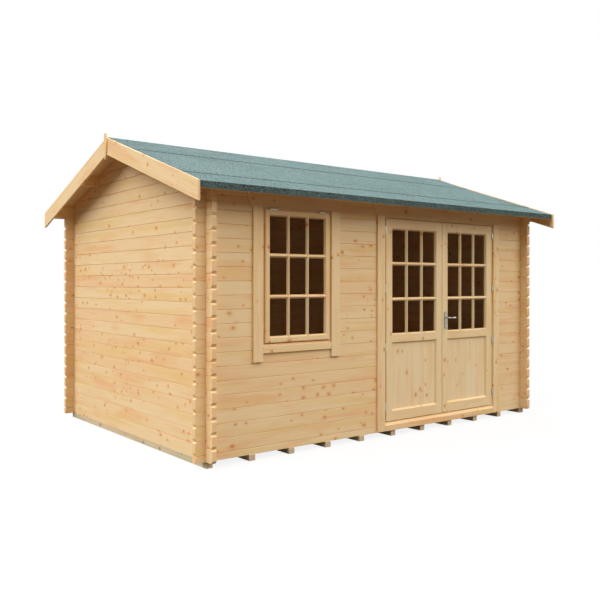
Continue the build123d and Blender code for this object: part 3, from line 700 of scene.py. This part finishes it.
def piece(name: str, surface: Surface, finish: Material, body: str, smooth: bool = False) -> Object:
    """A new piece with its place in its mesh and its faces outwards.

    Args:
        name: the piece's name.
        surface: its points and faces.
        finish: its material.
        body: the body that it rides on.
        smooth: whether it is shaded smooth.

    Returns:
        The object.
    """
    points, faces = surface
    mesh = bpy.data.meshes.new(name)
    mesh.from_pydata(points.reshape(-1, 3).tolist(), [], faces)
    work = bmesh.new()
    work.from_mesh(mesh)
    bmesh.ops.recalc_face_normals(work, faces=work.faces)
    work.to_mesh(mesh)
    work.free()
    if smooth:
        mesh.shade_smooth()
        mesh.set_sharp_from_angle(angle=SMOOTH)
    else:
        mesh.shade_flat()
    mesh.materials.append(finish)
    made = bpy.data.objects.new(name, mesh)
    bpy.context.scene.collection.objects.link(made)
    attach(made, body)
    log.info("%s: %d faces on %s", name, len(faces), body)
    return made


def merged(parts: Sequence[Surface]) -> Surface:
    """Several surfaces as one."""
    points, faces, count = [], [], 0
    for some, theirs in parts:
        flat = some.reshape(-1, 3)
        points.append(flat)
        faces += [[index + count for index in face] for face in theirs]
        count += len(flat)
    return np.concatenate(points), faces


def bars(profile: np.ndarray, starts: np.ndarray, run: np.ndarray, across: np.ndarray, up: np.ndarray) -> Surface:
    """Straight bars of one section: a point is start + a * across + b * up + t * run, for t = 0 and 1.

    Args:
        profile: the section's corners as rows (a, b).
        starts: where each bar's section has its origin, one row each.
        run: the bars' length as a vector.
        across: direction of the section's first part.
        up: direction of its second part.

    Returns:
        The points and the faces.
    """
    section = profile[:, :1] * across + profile[:, 1:] * up
    ends = np.stack([np.zeros(3), run])
    points = starts[:, None, None, :] + ends[None, :, None, :] + section[None, None, :, :]
    count = len(profile)
    near = np.arange(count)
    far = near + count
    sides = np.stack([near, np.roll(near, -1), np.roll(far, -1), far], axis=1)
    first = (np.arange(len(starts)) * 2 * count)[:, None, None]
    faces = (first + sides[None]).reshape(-1, 4).tolist()
    caps = np.stack([near[::-1], far])
    return points, faces + (first + caps[None]).reshape(-1, count).tolist()


def oblong(low: tuple[float, float], high: tuple[float, float]) -> np.ndarray:
    """Profile of an oblong bar from its lowest and highest corners, as rows (a, b)."""
    return np.array([low, (high[0], low[1]), high, (low[0], high[1])])


def laid(low: np.ndarray, high: np.ndarray, axis: int, board: float) -> tuple[float, np.ndarray]:
    """Divides a node's span into whole boards.

    Args:
        low: the node's lowest corner.
        high: its highest corner.
        axis: the axis that the boards lie side by side along.
        board: about how wide a board is.

    Returns:
        The boards' width, and the middle of each.
    """
    span = high[axis] - low[axis]
    count = round(span / board)
    return span / count, low[axis] + span / count * (np.arange(count) + 0.5)


def tube(centres: np.ndarray, radii: np.ndarray, side: np.ndarray, other: np.ndarray, sides: int) -> Surface:
    """Closed tube: a point is centre(t) + a(t) cos(f) side(t) + b(t) sin(f) other(t).

    Args:
        centres: the middle of each section.
        radii: the two half widths of each section.
        side: unit direction of the first half width at each section.
        other: unit direction of the second.
        sides: points round a section.

    Returns:
        The points, with one more at each end, and the faces.
    """
    turn = np.linspace(0, math.tau, sides, endpoint=False)
    rings = (centres[:, None] + radii[:, None, :1] * np.cos(turn)[None, :, None] * side[:, None]
             + radii[:, None, 1:] * np.sin(turn)[None, :, None] * other[:, None])
    points = np.concatenate([rings.reshape(-1, 3), centres[:1], centres[-1:]])
    grid = np.arange(len(centres) * sides).reshape(len(centres), sides)
    ahead = np.roll(grid, -1, axis=1)
    quads = np.stack([grid[:-1], ahead[:-1], ahead[1:], grid[1:]], axis=-1).reshape(-1, 4).tolist()
    poles = [len(points) - 2, len(points) - 1]
    fans = np.concatenate([
        np.stack([grid[0], ahead[0], np.full(sides, poles[0])], axis=1),
        np.stack([grid[-1], ahead[-1], np.full(sides, poles[1])], axis=1),
    ])
    return points, quads + fans.tolist()


def turned(profile: np.ndarray, base: np.ndarray, axis: np.ndarray, sides: int = 24) -> Surface:
    """Round part: a point is base + height * axis, plus radius away from the axis all round.

    Args:
        profile: rows (radius, height).
        base: where the height is 0.
        axis: unit direction of the height.
        sides: points round it.

    Returns:
        The points and the faces.
    """
    side = np.cross(axis, SLANT if abs(axis[2]) > 0.5 else Z)
    side = side / np.linalg.norm(side)
    count = len(profile)
    centres = base + profile[:, 1:] * axis
    radii = np.repeat(profile[:, :1], 2, axis=1)
    return tube(centres, radii, np.tile(side, (count, 1)), np.tile(np.cross(axis, side), (count, 1)), sides)


def rounded_rod(radius: float, length: float, ease: float = 0.0006) -> np.ndarray:
    """Profile of a rod whose ends are eased in two steps, as rows (radius, height)."""
    step = 0.3 * ease
    return np.array([
        (radius - ease, 0), (radius - step, step), (radius, ease),
        (radius, length - ease), (radius - step, length - step), (radius - ease, length),
    ])


def dome(radius: float, height: float, steps: int = 6) -> np.ndarray:
    """Profile of a low dome: radius * cos(a) and height * sin(a), for a from 0 to just under 90 degrees."""
    turn = np.linspace(0, math.radians(82), steps)
    return np.stack([radius * np.cos(turn), height * np.sin(turn)], axis=1)


def dress(nodes: Sequence[str], finish: Material, edge: float = 0.0, steps: int = 2, flatten: bool = True) -> None:
    """Gives frame nodes their finish and eases their sharp edges.

    Args:
        nodes: the nodes' names.
        finish: their material.
        edge: width of the eased edge, or 0 to leave the edges as they are.
        steps: faces across it.
        flatten: whether flat areas are joined into one face first.
    """
    for name in nodes:
        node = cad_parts[name]
        node.data.materials.clear()
        node.data.materials.append(finish)
        if edge:
            weld = node.modifiers.new("weld", "WELD")
            weld.merge_threshold = WELD
            if flatten:
                flat = node.modifiers.new("flat", "DECIMATE")
                flat.decimate_type = "DISSOLVE"
                flat.angle_limit = FLAT
            ease = node.modifiers.new("eased_edges", "BEVEL")
            ease.width = edge
            ease.segments = steps
            ease.limit_method = "ANGLE"
            ease.angle_limit = CORNER
            ease.use_clamp_overlap = True
            ease.harden_normals = False
            shade = node.modifiers.new("shading", "WEIGHTED_NORMAL")
            shade.keep_sharp = True
            shade.weight = 100
        log.info("%s: %s", name, finish.name)


# ---- Sub-assemblies ------------------------------------------------------------------------------
@dataclass
class LogWalls:
    """The interlocking logs of the four walls and the two gables, and the tongues in their joints."""

    front_nodes: tuple[str, ...] = (
        "front_foot_log", "front_wall_under_window", "front_wall_left", "front_wall_pier",
        "front_wall_right", "front_wall_top", "back_wall",
    )
    side_nodes: tuple[str, ...] = ("left_wall", "right_wall", "left_gable", "right_gable")
    edge: float = 0.0016
    front_knots: float = 0.36
    # the front's lighter dust and painted shade in its joints
    front_joint_dust_and_shade: Colour = linear(0.945, 0.885, 0.81)
    front_start: float = WALL_FOOT - COURSE / 2
    side_start: float = WALL_FOOT
    tongue: tuple[float, float] = (0.012, 0.010)
    tongue_end: float = 0.16

    def dress(self) -> None:
        """Gives each wall its own run of boards, so that no log repeats another."""
        for index, name in enumerate(self.front_nodes):
            boards = Boards(2, COURSE, self.front_start, Seed.FRONT_WALLS * (index + 1))
            finish = Timber(f"pine_{name}", Lie.ALONG_X, boards, knots=self.front_knots,
                            seam_start=self.front_start, joint_dust_and_shade=self.front_joint_dust_and_shade)
            dress([name], finish.material(), self.edge)
        for index, name in enumerate(self.side_nodes):
            boards = Boards(2, COURSE, self.side_start, Seed.SIDE_WALLS + 30 * (index % 2))
            finish = Timber(f"pine_{name}", Lie.ALONG_Y, boards, seam_start=self.side_start)
            dress([name], finish.material(), self.edge)

    def build(self) -> None:
        """Puts a tongue into each joint of the three whole walls, so that no light comes through."""
        wide, tall = self.tongue
        section = oblong((-wide / 2, -tall / 2), (wide / 2, tall / 2))
        tongues = []
        for name, along, across, start in (("back_wall", X, Y, self.front_start),
                                           ("left_wall", Y, X, self.side_start),
                                           ("right_wall", Y, X, self.side_start)):
            low, high = corners(name)
            levels = np.arange(start, high[2] - COURSE / 4, COURSE)
            levels = levels[levels > low[2] + COURSE / 4]
            starts = along * (low + self.tongue_end) + across * (low + high) / 2 + levels[:, None] * Z
            tongues.append(bars(section, starts, along * (high - low - 2 * self.tongue_end), across, Z))
        finish = Timber("pine_tongues", Lie.ALONG_X, Boards(2, COURSE, self.front_start, Seed.TONGUES), knots=0.0)
        piece("wall_tongues", merged(tongues), finish.material(), "cabin")


@dataclass
class Base:
    """Bearers under the walls, and the floor's boards."""

    edge: float = 0.002
    bearer_space: float = 0.2
    bearer_knots: float = 0.4
    board: float = 0.090
    groove: float = 0.003
    tongue: float = 0.004
    tongue_foot: float = 0.35
    tongue_top: float = 0.65
    slack: float = 0.0003

    def dress(self) -> None:
        """Gives the bearers their sawn, treated finish."""
        boards = Boards(0, self.bearer_space, OUTSIDE, Seed.BEARERS)
        finish = Timber("treated_bearers", Lie.ALONG_Y, boards, TREATED, self.bearer_knots)
        dress(["bearers"], finish.material(), self.edge)

    def build(self) -> None:
        """Lays the floor's tongued boards along the front, each with a small bevel on its upper edges."""
        low, high = corners("floor")
        width, middles = laid(low, high, 1, self.board)
        thick, cut, out, slack = high[2] - low[2], self.groove, self.tongue, self.slack
        foot, top, half = thick * self.tongue_foot, thick * self.tongue_top, width / 2 - PLAY
        profile = np.array([
            (-half, 0), (half, 0), (half, foot), (half + out, foot), (half + out, top), (half, top),
            (half, thick - cut), (half - cut, thick), (cut - half, thick), (-half, thick - cut),
            (-half, top + slack), (out + slack - half, top + slack), (out + slack - half, foot - slack),
            (-half, foot - slack),
        ])
        starts = low[0] * X + middles[:, None] * Y + low[2] * Z
        finish = Timber("pine_floor", Lie.ALONG_X, Boards(1, width, low[1], Seed.FLOOR))
        boards = bars(profile, starts, (high[0] - low[0]) * X, Y, Z)
        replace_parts(piece("floor_boards", boards, finish.material(), "cabin"), "floor")


@dataclass
class Roof:
    """Roof boards, purlins, eave strips, felt, barge boards and finials."""

    edge: float = 0.002
    strip_edge: float = 0.001
    finial_edge: float = 0.0015
    purlin_space: float = 0.4
    strip_space: float = 1.0
    board: float = 0.0883
    groove: float = 0.004
    knots: float = 0.2

    def dress(self) -> None:
        """Gives the roof's frame nodes their finishes."""
        dress(["ridge_felt", "front_felt", "back_felt"], Felt().material())
        purlin = Timber("pine_purlins", Lie.ALONG_X, Boards(1, self.purlin_space, OUTSIDE, Seed.PURLINS))
        dress(["purlins"], purlin.material(), self.edge)
        strip = Timber("pine_eave_strips", Lie.ALONG_X, Boards(1, self.strip_space, OUTSIDE, Seed.EAVE_STRIPS))
        dress(["eave_strips"], strip.material(), self.strip_edge)
        for index, side in enumerate(("left", "right")):
            boards = Boards(1, WIDE, 0.0, Seed.BARGES + 5 * index)
            barge = Timber(f"pine_{side}_barge", Lie.BARGE, boards, knots=self.knots)
            dress([f"{side}_barge_boards"], barge.material(), self.edge)
        finial = Timber("pine_finials", Lie.UPRIGHT, Boards(0, WIDE, 0.0, Seed.FINIALS), knots=0.0)
        dress(["finials"], finial.material(), self.finial_edge)

    def build(self) -> None:
        """Lays the roof's boards up both slopes, with a V at each joint on their underside."""
        plumb = DECK / math.cos(PITCH)
        for index, (name, way) in enumerate((("front_roof_boards", -1.0), ("back_roof_boards", 1.0))):
            low, high = corners(name)
            width, middles = laid(low, high, 0, self.board)
            half, cut = width / 2 - PLAY, self.groove
            profile = np.array([
                (cut - half, 0), (half - cut, 0), (half, cut), (half, plumb), (-half, plumb), (-half, cut),
            ])
            near, far = sorted((abs(low[1]), abs(high[1])))
            rise = (far - near) * math.tan(PITCH)
            starts = middles[:, None] * X + way * near * Y + (low[2] + rise) * Z
            finish = Timber(f"pine_{name}", Lie.DECK, Boards(0, width, low[0], Seed.DECKS + 100 * index),
                            knots=self.knots)
            boards = bars(profile, starts, way * (far - near) * Y - rise * Z, X, Z)
            deck = name.replace("roof_boards", "deck")
            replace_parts(piece(deck, boards, finish.material(), "cabin"), name)


@dataclass
class Opening:
    """What the window and the doors have alike: glazing bars, a case, trims beside it and boards round it."""

    bar: float = 0.035
    jamb: float = 0.045
    past: float = 0.01
    knots: float = 0.36
    edge: float = 0.002
    case_edge: float = 0.0015

    def bar_bands(self, foot: float, top: float) -> list[tuple[float, float]]:
        """The heights that the two bars between three rows of panes run between."""
        pane = (top - foot - 2 * self.bar) / 3
        starts = (foot + pane, foot + 2 * pane + self.bar)
        return [(start, start + self.bar) for start in starts]

    def dress_case(self, kind: str, foot: float, top: float, seed: Seed) -> None:
        """Gives a case its finish, with the grain of its head and foot along X.

        Args:
            kind: what its node's name starts with.
            foot: the height that its foot ends at.
            top: the height that its head starts at.
            seed: the start of its board numbers.
        """
        low, high = corners(f"{kind}_frame")
        case = Joinery(f"pine_{kind}_frame", Lie.UPRIGHT, Boards(seed=seed), knots=self.knots,
                       middle=(low[0] + high[0]) / 2, between=high[0] - low[0] - 2 * self.jamb,
                       rails=((low[2] - self.past, foot), (top, high[2] + self.past)))
        dress([f"{kind}_frame"], case.material(), self.case_edge)

    def dress_surround(self, kind: str, middle: float, seeds: tuple[Seed, Seed], flats: Sequence[str]) -> None:
        """Gives the trims beside a case and the boards over and under it their finishes.

        Args:
            kind: what the trims' node's name starts with.
            middle: the case's middle along X.
            seeds: the starts of the trims' and of the boards' numbers.
            flats: the boards' nodes.
        """
        trims = Timber(f"pine_{kind}_trims", Lie.UPRIGHT, Boards(0, WIDE, middle, seeds[0]), JOINERY, self.knots)
        dress([f"{kind}_trims"], trims.material(), self.edge)
        flat = Timber(f"pine_{kind}_boards", Lie.ALONG_X, Boards(2, 1.0, 0.0, seeds[1]), knots=self.knots)
        dress(flats, flat.material(), self.edge)


@dataclass
class WindowUnit(Opening):
    """Frame, sash, glass and trims of the window."""

    member: float = 0.057

    def dress(self) -> None:
        """Gives the window's frame nodes their finishes."""
        low, high = corners("window_sash")
        foot, top, middle = low[2] + self.member, high[2] - self.member, (low[0] + high[0]) / 2
        sash = Joinery("pine_sash", Lie.UPRIGHT, Boards(seed=Seed.SASH), knots=self.knots, middle=middle,
                       between=high[0] - low[0] - 2 * self.member,
                       rails=((low[2], foot), *self.bar_bands(foot, top), (top, high[2])))
        dress(["window_sash"], sash.material(), self.edge, flatten=False)
        dress(["window_glass"], Glass("pane_glass").material())
        self.dress_case("window", low[2], high[2], Seed.WINDOW_FRAME)
        self.dress_surround("window", middle, (Seed.WINDOW_TRIMS, Seed.WINDOW_BOARDS),
                            ["window_sill_board", "window_head_board"])


@dataclass
class DoorPair(Opening):
    """Frame, leaves, glass, hinges, trims and handle plates of the doors, and the lip where the leaves meet."""

    stile: float = 0.094
    bottom: float = 0.108
    panel: float = 0.625
    panel_board: float = 0.1494
    middle_rail: float = 0.101
    top_rail: float = 0.104
    leaf_edge: float = 0.0006
    leaf_knots: float = 0.45
    panel_knots: float = 0.22
    lip_half: float = 0.0022
    lip_back: float = 0.003
    lip_depth: float = 0.012
    lip_end: float = 0.003

    def dress(self) -> None:
        """Gives the doors' frame nodes their finishes."""
        for index, side in enumerate(("left", "right")):
            low, high = corners(f"{side}_door")
            foot = low[2] + self.bottom + self.panel + self.middle_rail
            top = high[2] - self.top_rail
            rails = ((low[2], low[2] + self.bottom), (foot - self.middle_rail, foot),
                     *self.bar_bands(foot, top), (top, high[2]))
            leaf = Joinery(f"pine_{side}_leaf", Lie.UPRIGHT, Boards(seed=Seed.LEAVES + 50 * index), JOINERY,
                           self.leaf_knots, middle=(low[0] + high[0]) / 2,
                           between=high[0] - low[0] - 2 * self.stile, rails=rails)
            finish = leaf.material()
            dress([f"{side}_door"], finish, self.leaf_edge, flatten=False)
            boards = Boards(0, self.panel_board, low[0] + self.stile, Seed.PANELS + 20 * index)
            panel = Timber(f"pine_{side}_panel", Lie.UPRIGHT, boards, PANELLING, self.panel_knots)
            dress([f"{side}_door_panel"], panel.material())
        self._meeting_lip(low, high, finish)
        dress(["left_door_glass", "right_door_glass"], Glass("door_glass").material())
        self.dress_case("door", low[2], high[2], Seed.DOOR_FRAME)
        case_low, case_high = corners("door_frame")
        self.dress_surround("door", (case_low[0] + case_high[0]) / 2, (Seed.DOOR_TRIMS, Seed.DOOR_BOARDS),
                            ["door_head_board", "door_threshold"])
        dress(["door_hinge_pins", "left_hinge_sleeves", "right_hinge_sleeves"], HINGE_PLATE.material())
        dress(["door_handle_plates"], HANDLE_PLATE.material(), self.edge, 3)

    def _meeting_lip(self, low: np.ndarray, high: np.ndarray, finish: Material) -> None:
        """A narrow lip on the right leaf's edge, just behind its face, that all but closes the gap."""
        section = oblong((-self.lip_half, 0.0), (self.lip_half, self.lip_depth))
        start = low + self.lip_back * Y + self.lip_end * Z
        run = (high[2] - low[2] - 2 * self.lip_end) * Z
        piece("meeting_lip", bars(section, start[None], run, X, Y), finish, "right_leaf")


@dataclass
class LeverHandle:
    """Curved lever on each face of the right leaf, its spindle, and the collars and screws of its plates."""

    pivot: tuple[float, float, float] = (0.750, -1.425, 1.106)
    leaf: float = 0.042
    plate: float = 0.008
    spindle_half: float = 0.004
    spindle_end: float = 0.02
    stand: float = 0.042
    bend: float = 0.014
    reach: float = 0.108
    tip: float = 0.010
    tip_end: float = 0.999
    bow: float = 0.009
    droop: float = 0.0035
    neck: float = 0.0075
    grip: tuple[float, float] = (0.0055, 0.0076)
    grip_start: float = 0.02
    waist: tuple[float, float, float] = (0.34, 0.52, 0.2)
    sections: tuple[int, ...] = (4, 12, 22, 9)
    sides: int = 20
    collar: tuple[tuple[float, float], ...] = ((0.0125, 0), (0.0125, 0.002), (0.0115, 0.0032), (0.0082, 0.0034))
    screw: tuple[float, float] = (0.0042, 0.0016)
    screw_drops: tuple[float, ...] = (-0.046, 0.098)
    screw_slot: tuple[float, float] = (0.0026, 0.0003)
    screw_slot_rise: float = 0.0014
    keyhole: tuple[float, float] = (0.0030, 0.0075)
    keyhole_drop: float = 0.0680
    slot_depth: float = 0.0003

    def build(self) -> None:
        """Makes the lever with its spindle, and what is fixed to the plates."""
        satin, dark = HANDLE_GRIP.material(), KEYHOLE.material()
        middle = np.array(self.pivot)
        faces = ((middle, -1.0), (middle + self.leaf * Y, 1.0))
        half = self.spindle_half
        spindle = bars(oblong((-half, -half), (half, half)), (middle - self.spindle_end * Y)[None],
                       (self.leaf + 2 * self.spindle_end) * Y, X, Z)
        levers = merged([spindle] + [self._lever(start, way) for start, way in faces])
        made = piece("lever_grips", levers, satin, "lever", smooth=True)
        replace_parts(made, "door_lever")
        fixed, slots = [], []
        for start, way in faces:
            out = way * Y
            top = start + out * self.plate
            screws = [top - drop * Z for drop in self.screw_drops]
            fixed.append(turned(np.array(self.collar), top, out))
            fixed += [turned(dome(*self.screw), place, out, 18) for place in screws]
            slots += [self._slot(place + out * self.screw_slot_rise, self.screw_slot, out) for place in screws]
            slots.append(self._slot(top - self.keyhole_drop * Z, self.keyhole, out))
        piece("plate_fittings", merged(fixed), satin, "right_leaf", smooth=True)
        # painted shade: dark bars stand for the keyhole and the screws' slots, which are hollows
        piece("keyhole_slots", merged(slots), dark, "right_leaf")

    def _slot(self, place: np.ndarray, size: tuple[float, float], out: np.ndarray) -> Surface:
        """A thin dark bar on a face, painted shade in place of a hollow, its size given along X and along Z."""
        wide, high = size[0] / 2, size[1] / 2
        return bars(oblong((-wide, -high), (wide, high)), place[None], out * self.slot_depth, X, Z)

    def _lever(self, start: np.ndarray, way: float) -> Surface:
        """Straight out by the stand, a quarter turn, then along X with a slight droop and return.

        With t the length along it and f the angle of the turn at t, x = bend * (1 - cos f) + what is past the
        turn, and y = what is before the turn + bend * sin f, less a bow. Its half widths go smoothly from the
        neck's to the grip's, narrow at a waist by a bell curve, and over the tip fall as a quarter circle.
        """
        before = self.stand - self.bend
        turn = self.bend * math.pi / 2
        past = self.reach - self.bend
        length = before + turn + past
        stem, elbow, arm, end = self.sections
        t = np.concatenate([np.linspace(0, before, stem)[:-1], np.linspace(before, before + turn, elbow)[:-1],
                            np.linspace(before + turn, length - self.tip, arm)[:-1],
                            length - self.tip * (1 - np.sin(np.linspace(0, math.pi / 2, end)))])
        angle = np.clip((t - before) / self.bend, 0, math.pi / 2)
        along = np.clip(t - before - turn, 0, None)
        share = along / past
        x = self.bend * (1 - np.cos(angle)) + along
        y = np.minimum(t, before) + self.bend * np.sin(angle) - self.bow * np.sin(math.pi * share) ** 2
        z = -self.droop * np.sin(math.pi * share)
        centres = start + np.stack([x, way * (y + self.plate), z], axis=1)
        blend = np.clip(along / self.grip_start, 0, 1)
        blend = blend * blend * (3 - 2 * blend)
        near_tip = np.clip((t - length + self.tip) / self.tip, 0, self.tip_end)
        depth, middle, spread = self.waist
        narrow = np.sqrt(1 - near_tip**2) * (1 - depth * np.exp(-(((share - middle) / spread) ** 2)))
        radii = (self.neck + (np.array(self.grip) - self.neck) * blend[:, None]) * narrow[:, None]
        side = np.stack([np.cos(angle), -way * np.sin(angle), np.zeros_like(t)], axis=1)
        return tube(centres, radii, side, np.tile(Z, (len(t), 1)), self.sides)


@dataclass
class Hinges:
    """Knuckles of the window's hinges and the domed ends of the doors' hinges."""

    knuckle: float = 0.0055
    pin: float = 0.0036
    window_length: float = 0.072
    knuckle_gap: float = 0.0008
    flap_half: float = 0.0012
    barrel: float = 0.007
    barrel_length: float = 0.034
    cap: tuple[float, float] = (0.007 * 0.93, 0.0045)
    each_leaf: int = 4

    def build(self) -> None:
        """Makes the window's two hinges, and the ends of the doors' eight."""
        zinc = HINGE_ZINC.material()
        self._window(zinc)
        feet = []
        for side in ("left", "right"):
            low, high = corners(f"{side}_hinge_sleeves")
            x = low[0] + self.barrel if side == "left" else high[0] - self.barrel
            axis = np.array([x, low[1] + self.barrel, 0.0])
            tops = np.linspace(low[2], high[2] - self.barrel_length, self.each_leaf) + self.barrel_length
            caps = [turned(dome(*self.cap), axis + top * Z, Z) for top in tops]
            piece(f"{side}_leaf_hinge_caps", merged(caps), zinc, f"{side}_leaf", smooth=True)
            feet += [turned(dome(*self.cap), axis + (top - 2 * self.barrel_length - PLAY) * Z, -Z) for top in tops]
        piece("hinge_foot_caps", merged(feet), zinc, "cabin", smooth=True)

    def _window(self, zinc: Material) -> None:
        """Three knuckles round a pin, and the flap behind them, for each of the window's hinges."""
        low, high = corners("window_hinges")
        third, gap, half = self.window_length / 3, self.knuckle_gap, self.flap_half
        knuckle = rounded_rod(self.knuckle, third - gap)
        pin = rounded_rod(self.pin, self.window_length - 2 * PLAY)
        flap = oblong((0, -half), (high[1] - low[1] - self.knuckle, half))
        parts = []
        for x in (low[0], high[0] - self.window_length):
            start = np.array([x, low[1] + self.knuckle, low[2] + self.knuckle])
            parts += [turned(knuckle, start + (number * third + gap / 2) * X, X) for number in range(3)]
            parts.append(turned(pin, start + PLAY * X, X))
            parts.append(bars(flap, start[None], self.window_length * X, Y, Z))
        made = piece("window_hinge_knuckles", merged(parts), zinc, "cabin", smooth=True)
        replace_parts(made, "window_hinges")


@dataclass
class Fixings:
    """Screw heads in the boards round the openings and along the gables."""

    head: tuple[float, float, int] = (0.0035, 0.0009, 4)
    edge: float = 0.024
    trim: float = 0.098
    trim_foot: float = 0.07
    trim_top: float = 0.04
    course_step: int = 3
    board_end: float = 0.06
    barge_reaches: tuple[float, ...] = (0.14, 0.67, 0.72, 1.38, 1.60)
    barge_drops: tuple[float, ...] = (0.05, 0.10)

    def build(self) -> None:
        """Makes the heads on the front's boards, and those on the barge boards."""
        zinc = SCREW_ZINC.material()
        front, gables = [], []
        for name in ("window_trims", "door_trims"):
            low, high = corners(name)
            levels = np.arange(low[2] + self.trim_foot, high[2] - self.trim_top, COURSE * self.course_step)
            inner = self.trim - self.edge
            places = (low[0] + self.edge, low[0] + inner, high[0] - inner, high[0] - self.edge)
            front += [self._head((x, low[1], z), -Y) for x, z in product(places, levels)]
        for name, count in (("window_head_board", 4), ("door_head_board", 6), ("door_threshold", 6)):
            low, high = corners(name)
            places = np.linspace(low[0] + self.board_end, high[0] - self.board_end, count)
            levels = (low[2] + self.edge, high[2] - self.edge)
            front += [self._head((x, low[1], z), -Y) for x, z in product(places, levels)]
        piece("front_screw_heads", merged(front), zinc, "cabin", smooth=True)
        for side in ("left", "right"):
            low, high = corners(f"{side}_barge_boards")
            x, out = (low[0], -X) if side == "left" else (high[0], X)
            for reach, drop, way in product(self.barge_reaches, self.barge_drops, (-1, 1)):
                z = high[2] - reach * math.tan(PITCH) - drop
                gables.append(self._head((x, way * reach, z), out))
        piece("gable_screw_heads", merged(gables), zinc, "cabin", smooth=True)

    def _head(self, place: tuple[float, float, float], out: np.ndarray) -> Surface:
        """One low round head on a face."""
        return turned(dome(*self.head), np.array(place), out, 12)


# ---- Studio --------------------------------------------------------------------------------------
@dataclass(frozen=True)
class Lamp:
    """A wide soft lamp, far off in a direction."""

    name: str
    towards: tuple[float, float, float]
    power: float
    softness: float = math.radians(60)

    def build(self) -> None:
        """Adds the lamp."""
        data = bpy.data.lights.new(self.name, "SUN")
        data.angle = self.softness
        data.energy = self.power
        made = bpy.data.objects.new(self.name, data)
        bpy.context.scene.collection.objects.link(made)
        made.rotation_mode = "QUATERNION"
        made.rotation_quaternion = (-Vector(self.towards)).to_track_quat("-Z", "Y")


@dataclass
class Studio:
    """Pale floor, soft light and the camera."""

    lamps: tuple[Lamp, ...] = (
        Lamp("key", (-8.0, 1.4, 7.0), 3.06), Lamp("front", (0.0, -8.0, 7.4), 1.01),
        Lamp("side", (5.0, -7.0, 7.5), 1.67), Lamp("back", (1.5, 8.0, 5.0), 2.12),
    )
    ambient: float = 0.03
    floor_half: float = 60.0
    floor_drop: float = 0.0005
    floor_bounce: Colour = (0.105, 0.085, 0.064)
    floor_seen: Colour = (0.9, 0.9, 0.9)
    floor_glow: float = 0.86
    eye: tuple[float, float, float] = (-4.986, -6.399, 1.4585)
    heading: float = math.radians(-37.81)
    lens: float = 43.83
    sensor: float = 36.0
    shift: float = -0.0285
    sight: float = 300.0

    def build(self) -> None:
        """Makes the floor, the world, the lamps and the camera."""
        self._floor()
        self._world()
        for lamp in self.lamps:
            lamp.build()
        self._camera()

    def _seen(self, graph: Graph) -> NodeSocket:
        """1 for what the camera sees, straight or by way of a mirror or a pane."""
        path = graph.node("LightPath").outputs
        seen = graph.math("MAXIMUM", path["Is Camera Ray"], path["Is Glossy Ray"])
        return graph.math("MAXIMUM", seen, path["Is Transmission Ray"])

    def _floor(self) -> None:
        """A wide white floor that keeps the cabin's shadow faintly."""
        mesh = bpy.data.meshes.new("studio_floor")
        square = oblong((-self.floor_half,) * 2, (self.floor_half,) * 2)
        points = np.column_stack([square, np.full(4, -self.floor_drop)])
        mesh.from_pydata(points.tolist(), [], [(0, 1, 2, 3)])
        made = bpy.data.objects.new("studio_floor", mesh)
        bpy.context.scene.collection.objects.link(made)
        finish, graph, shader = new_material("studio_floor")
        seen = self._seen(graph)
        shader.inputs["Roughness"].default_value = 1.0
        shader.inputs["Specular IOR Level"].default_value = 0.0
        graph.feed(shader.inputs["Base Color"], graph.mix(seen, self.floor_bounce, self.floor_seen))
        glow = graph.node("Emission", {"Strength": 1.0})
        share = graph.times(seen, self.floor_glow)
        both = graph.node("MixShader", {0: share, 1: shader.outputs[0], 2: glow.outputs[0]})
        output = finish.node_tree.nodes["Material Output"]
        graph.feed(output.inputs["Surface"], both.outputs[0])
        mesh.materials.append(finish)

    def _world(self) -> None:
        """White where it is seen, and an even soft light for everything else."""
        world = bpy.data.worlds.new("studio")
        world.use_nodes = True
        graph = Graph(world.node_tree)
        back = world.node_tree.nodes["Background"]
        graph.feed(back.inputs["Strength"], graph.ramp(self._seen(graph), 0.0, 1.0, self.ambient, 1.0))
        graph.feed(back.inputs["Color"], (1.0, 1.0, 1.0))
        bpy.context.scene.world = world

    def _camera(self) -> None:
        """A level camera at a standing eye's height, in front of the left corner."""
        data = bpy.data.cameras.new("camera")
        data.lens = self.lens
        data.sensor_width = self.sensor
        data.shift_y = self.shift
        data.clip_end = self.sight
        made = bpy.data.objects.new("camera", data)
        made.location = self.eye
        made.rotation_euler = (math.pi / 2, 0.0, self.heading)
        bpy.context.scene.collection.objects.link(made)
        bpy.context.scene.camera = made


def main() -> None:
    """Builds and dresses the cabin, then the studio round it."""
    logging.basicConfig(level=logging.INFO, format="%(message)s")
    for part in (LogWalls(), Base(), Roof()):
        part.dress()
        part.build()
    WindowUnit().dress()
    DoorPair().dress()
    LeverHandle().build()
    Hinges().build()
    Fixings().build()
    Studio().build()
    bpy.context.scene.view_settings.view_transform = "Standard"


if __name__ == "__main__":
    main()
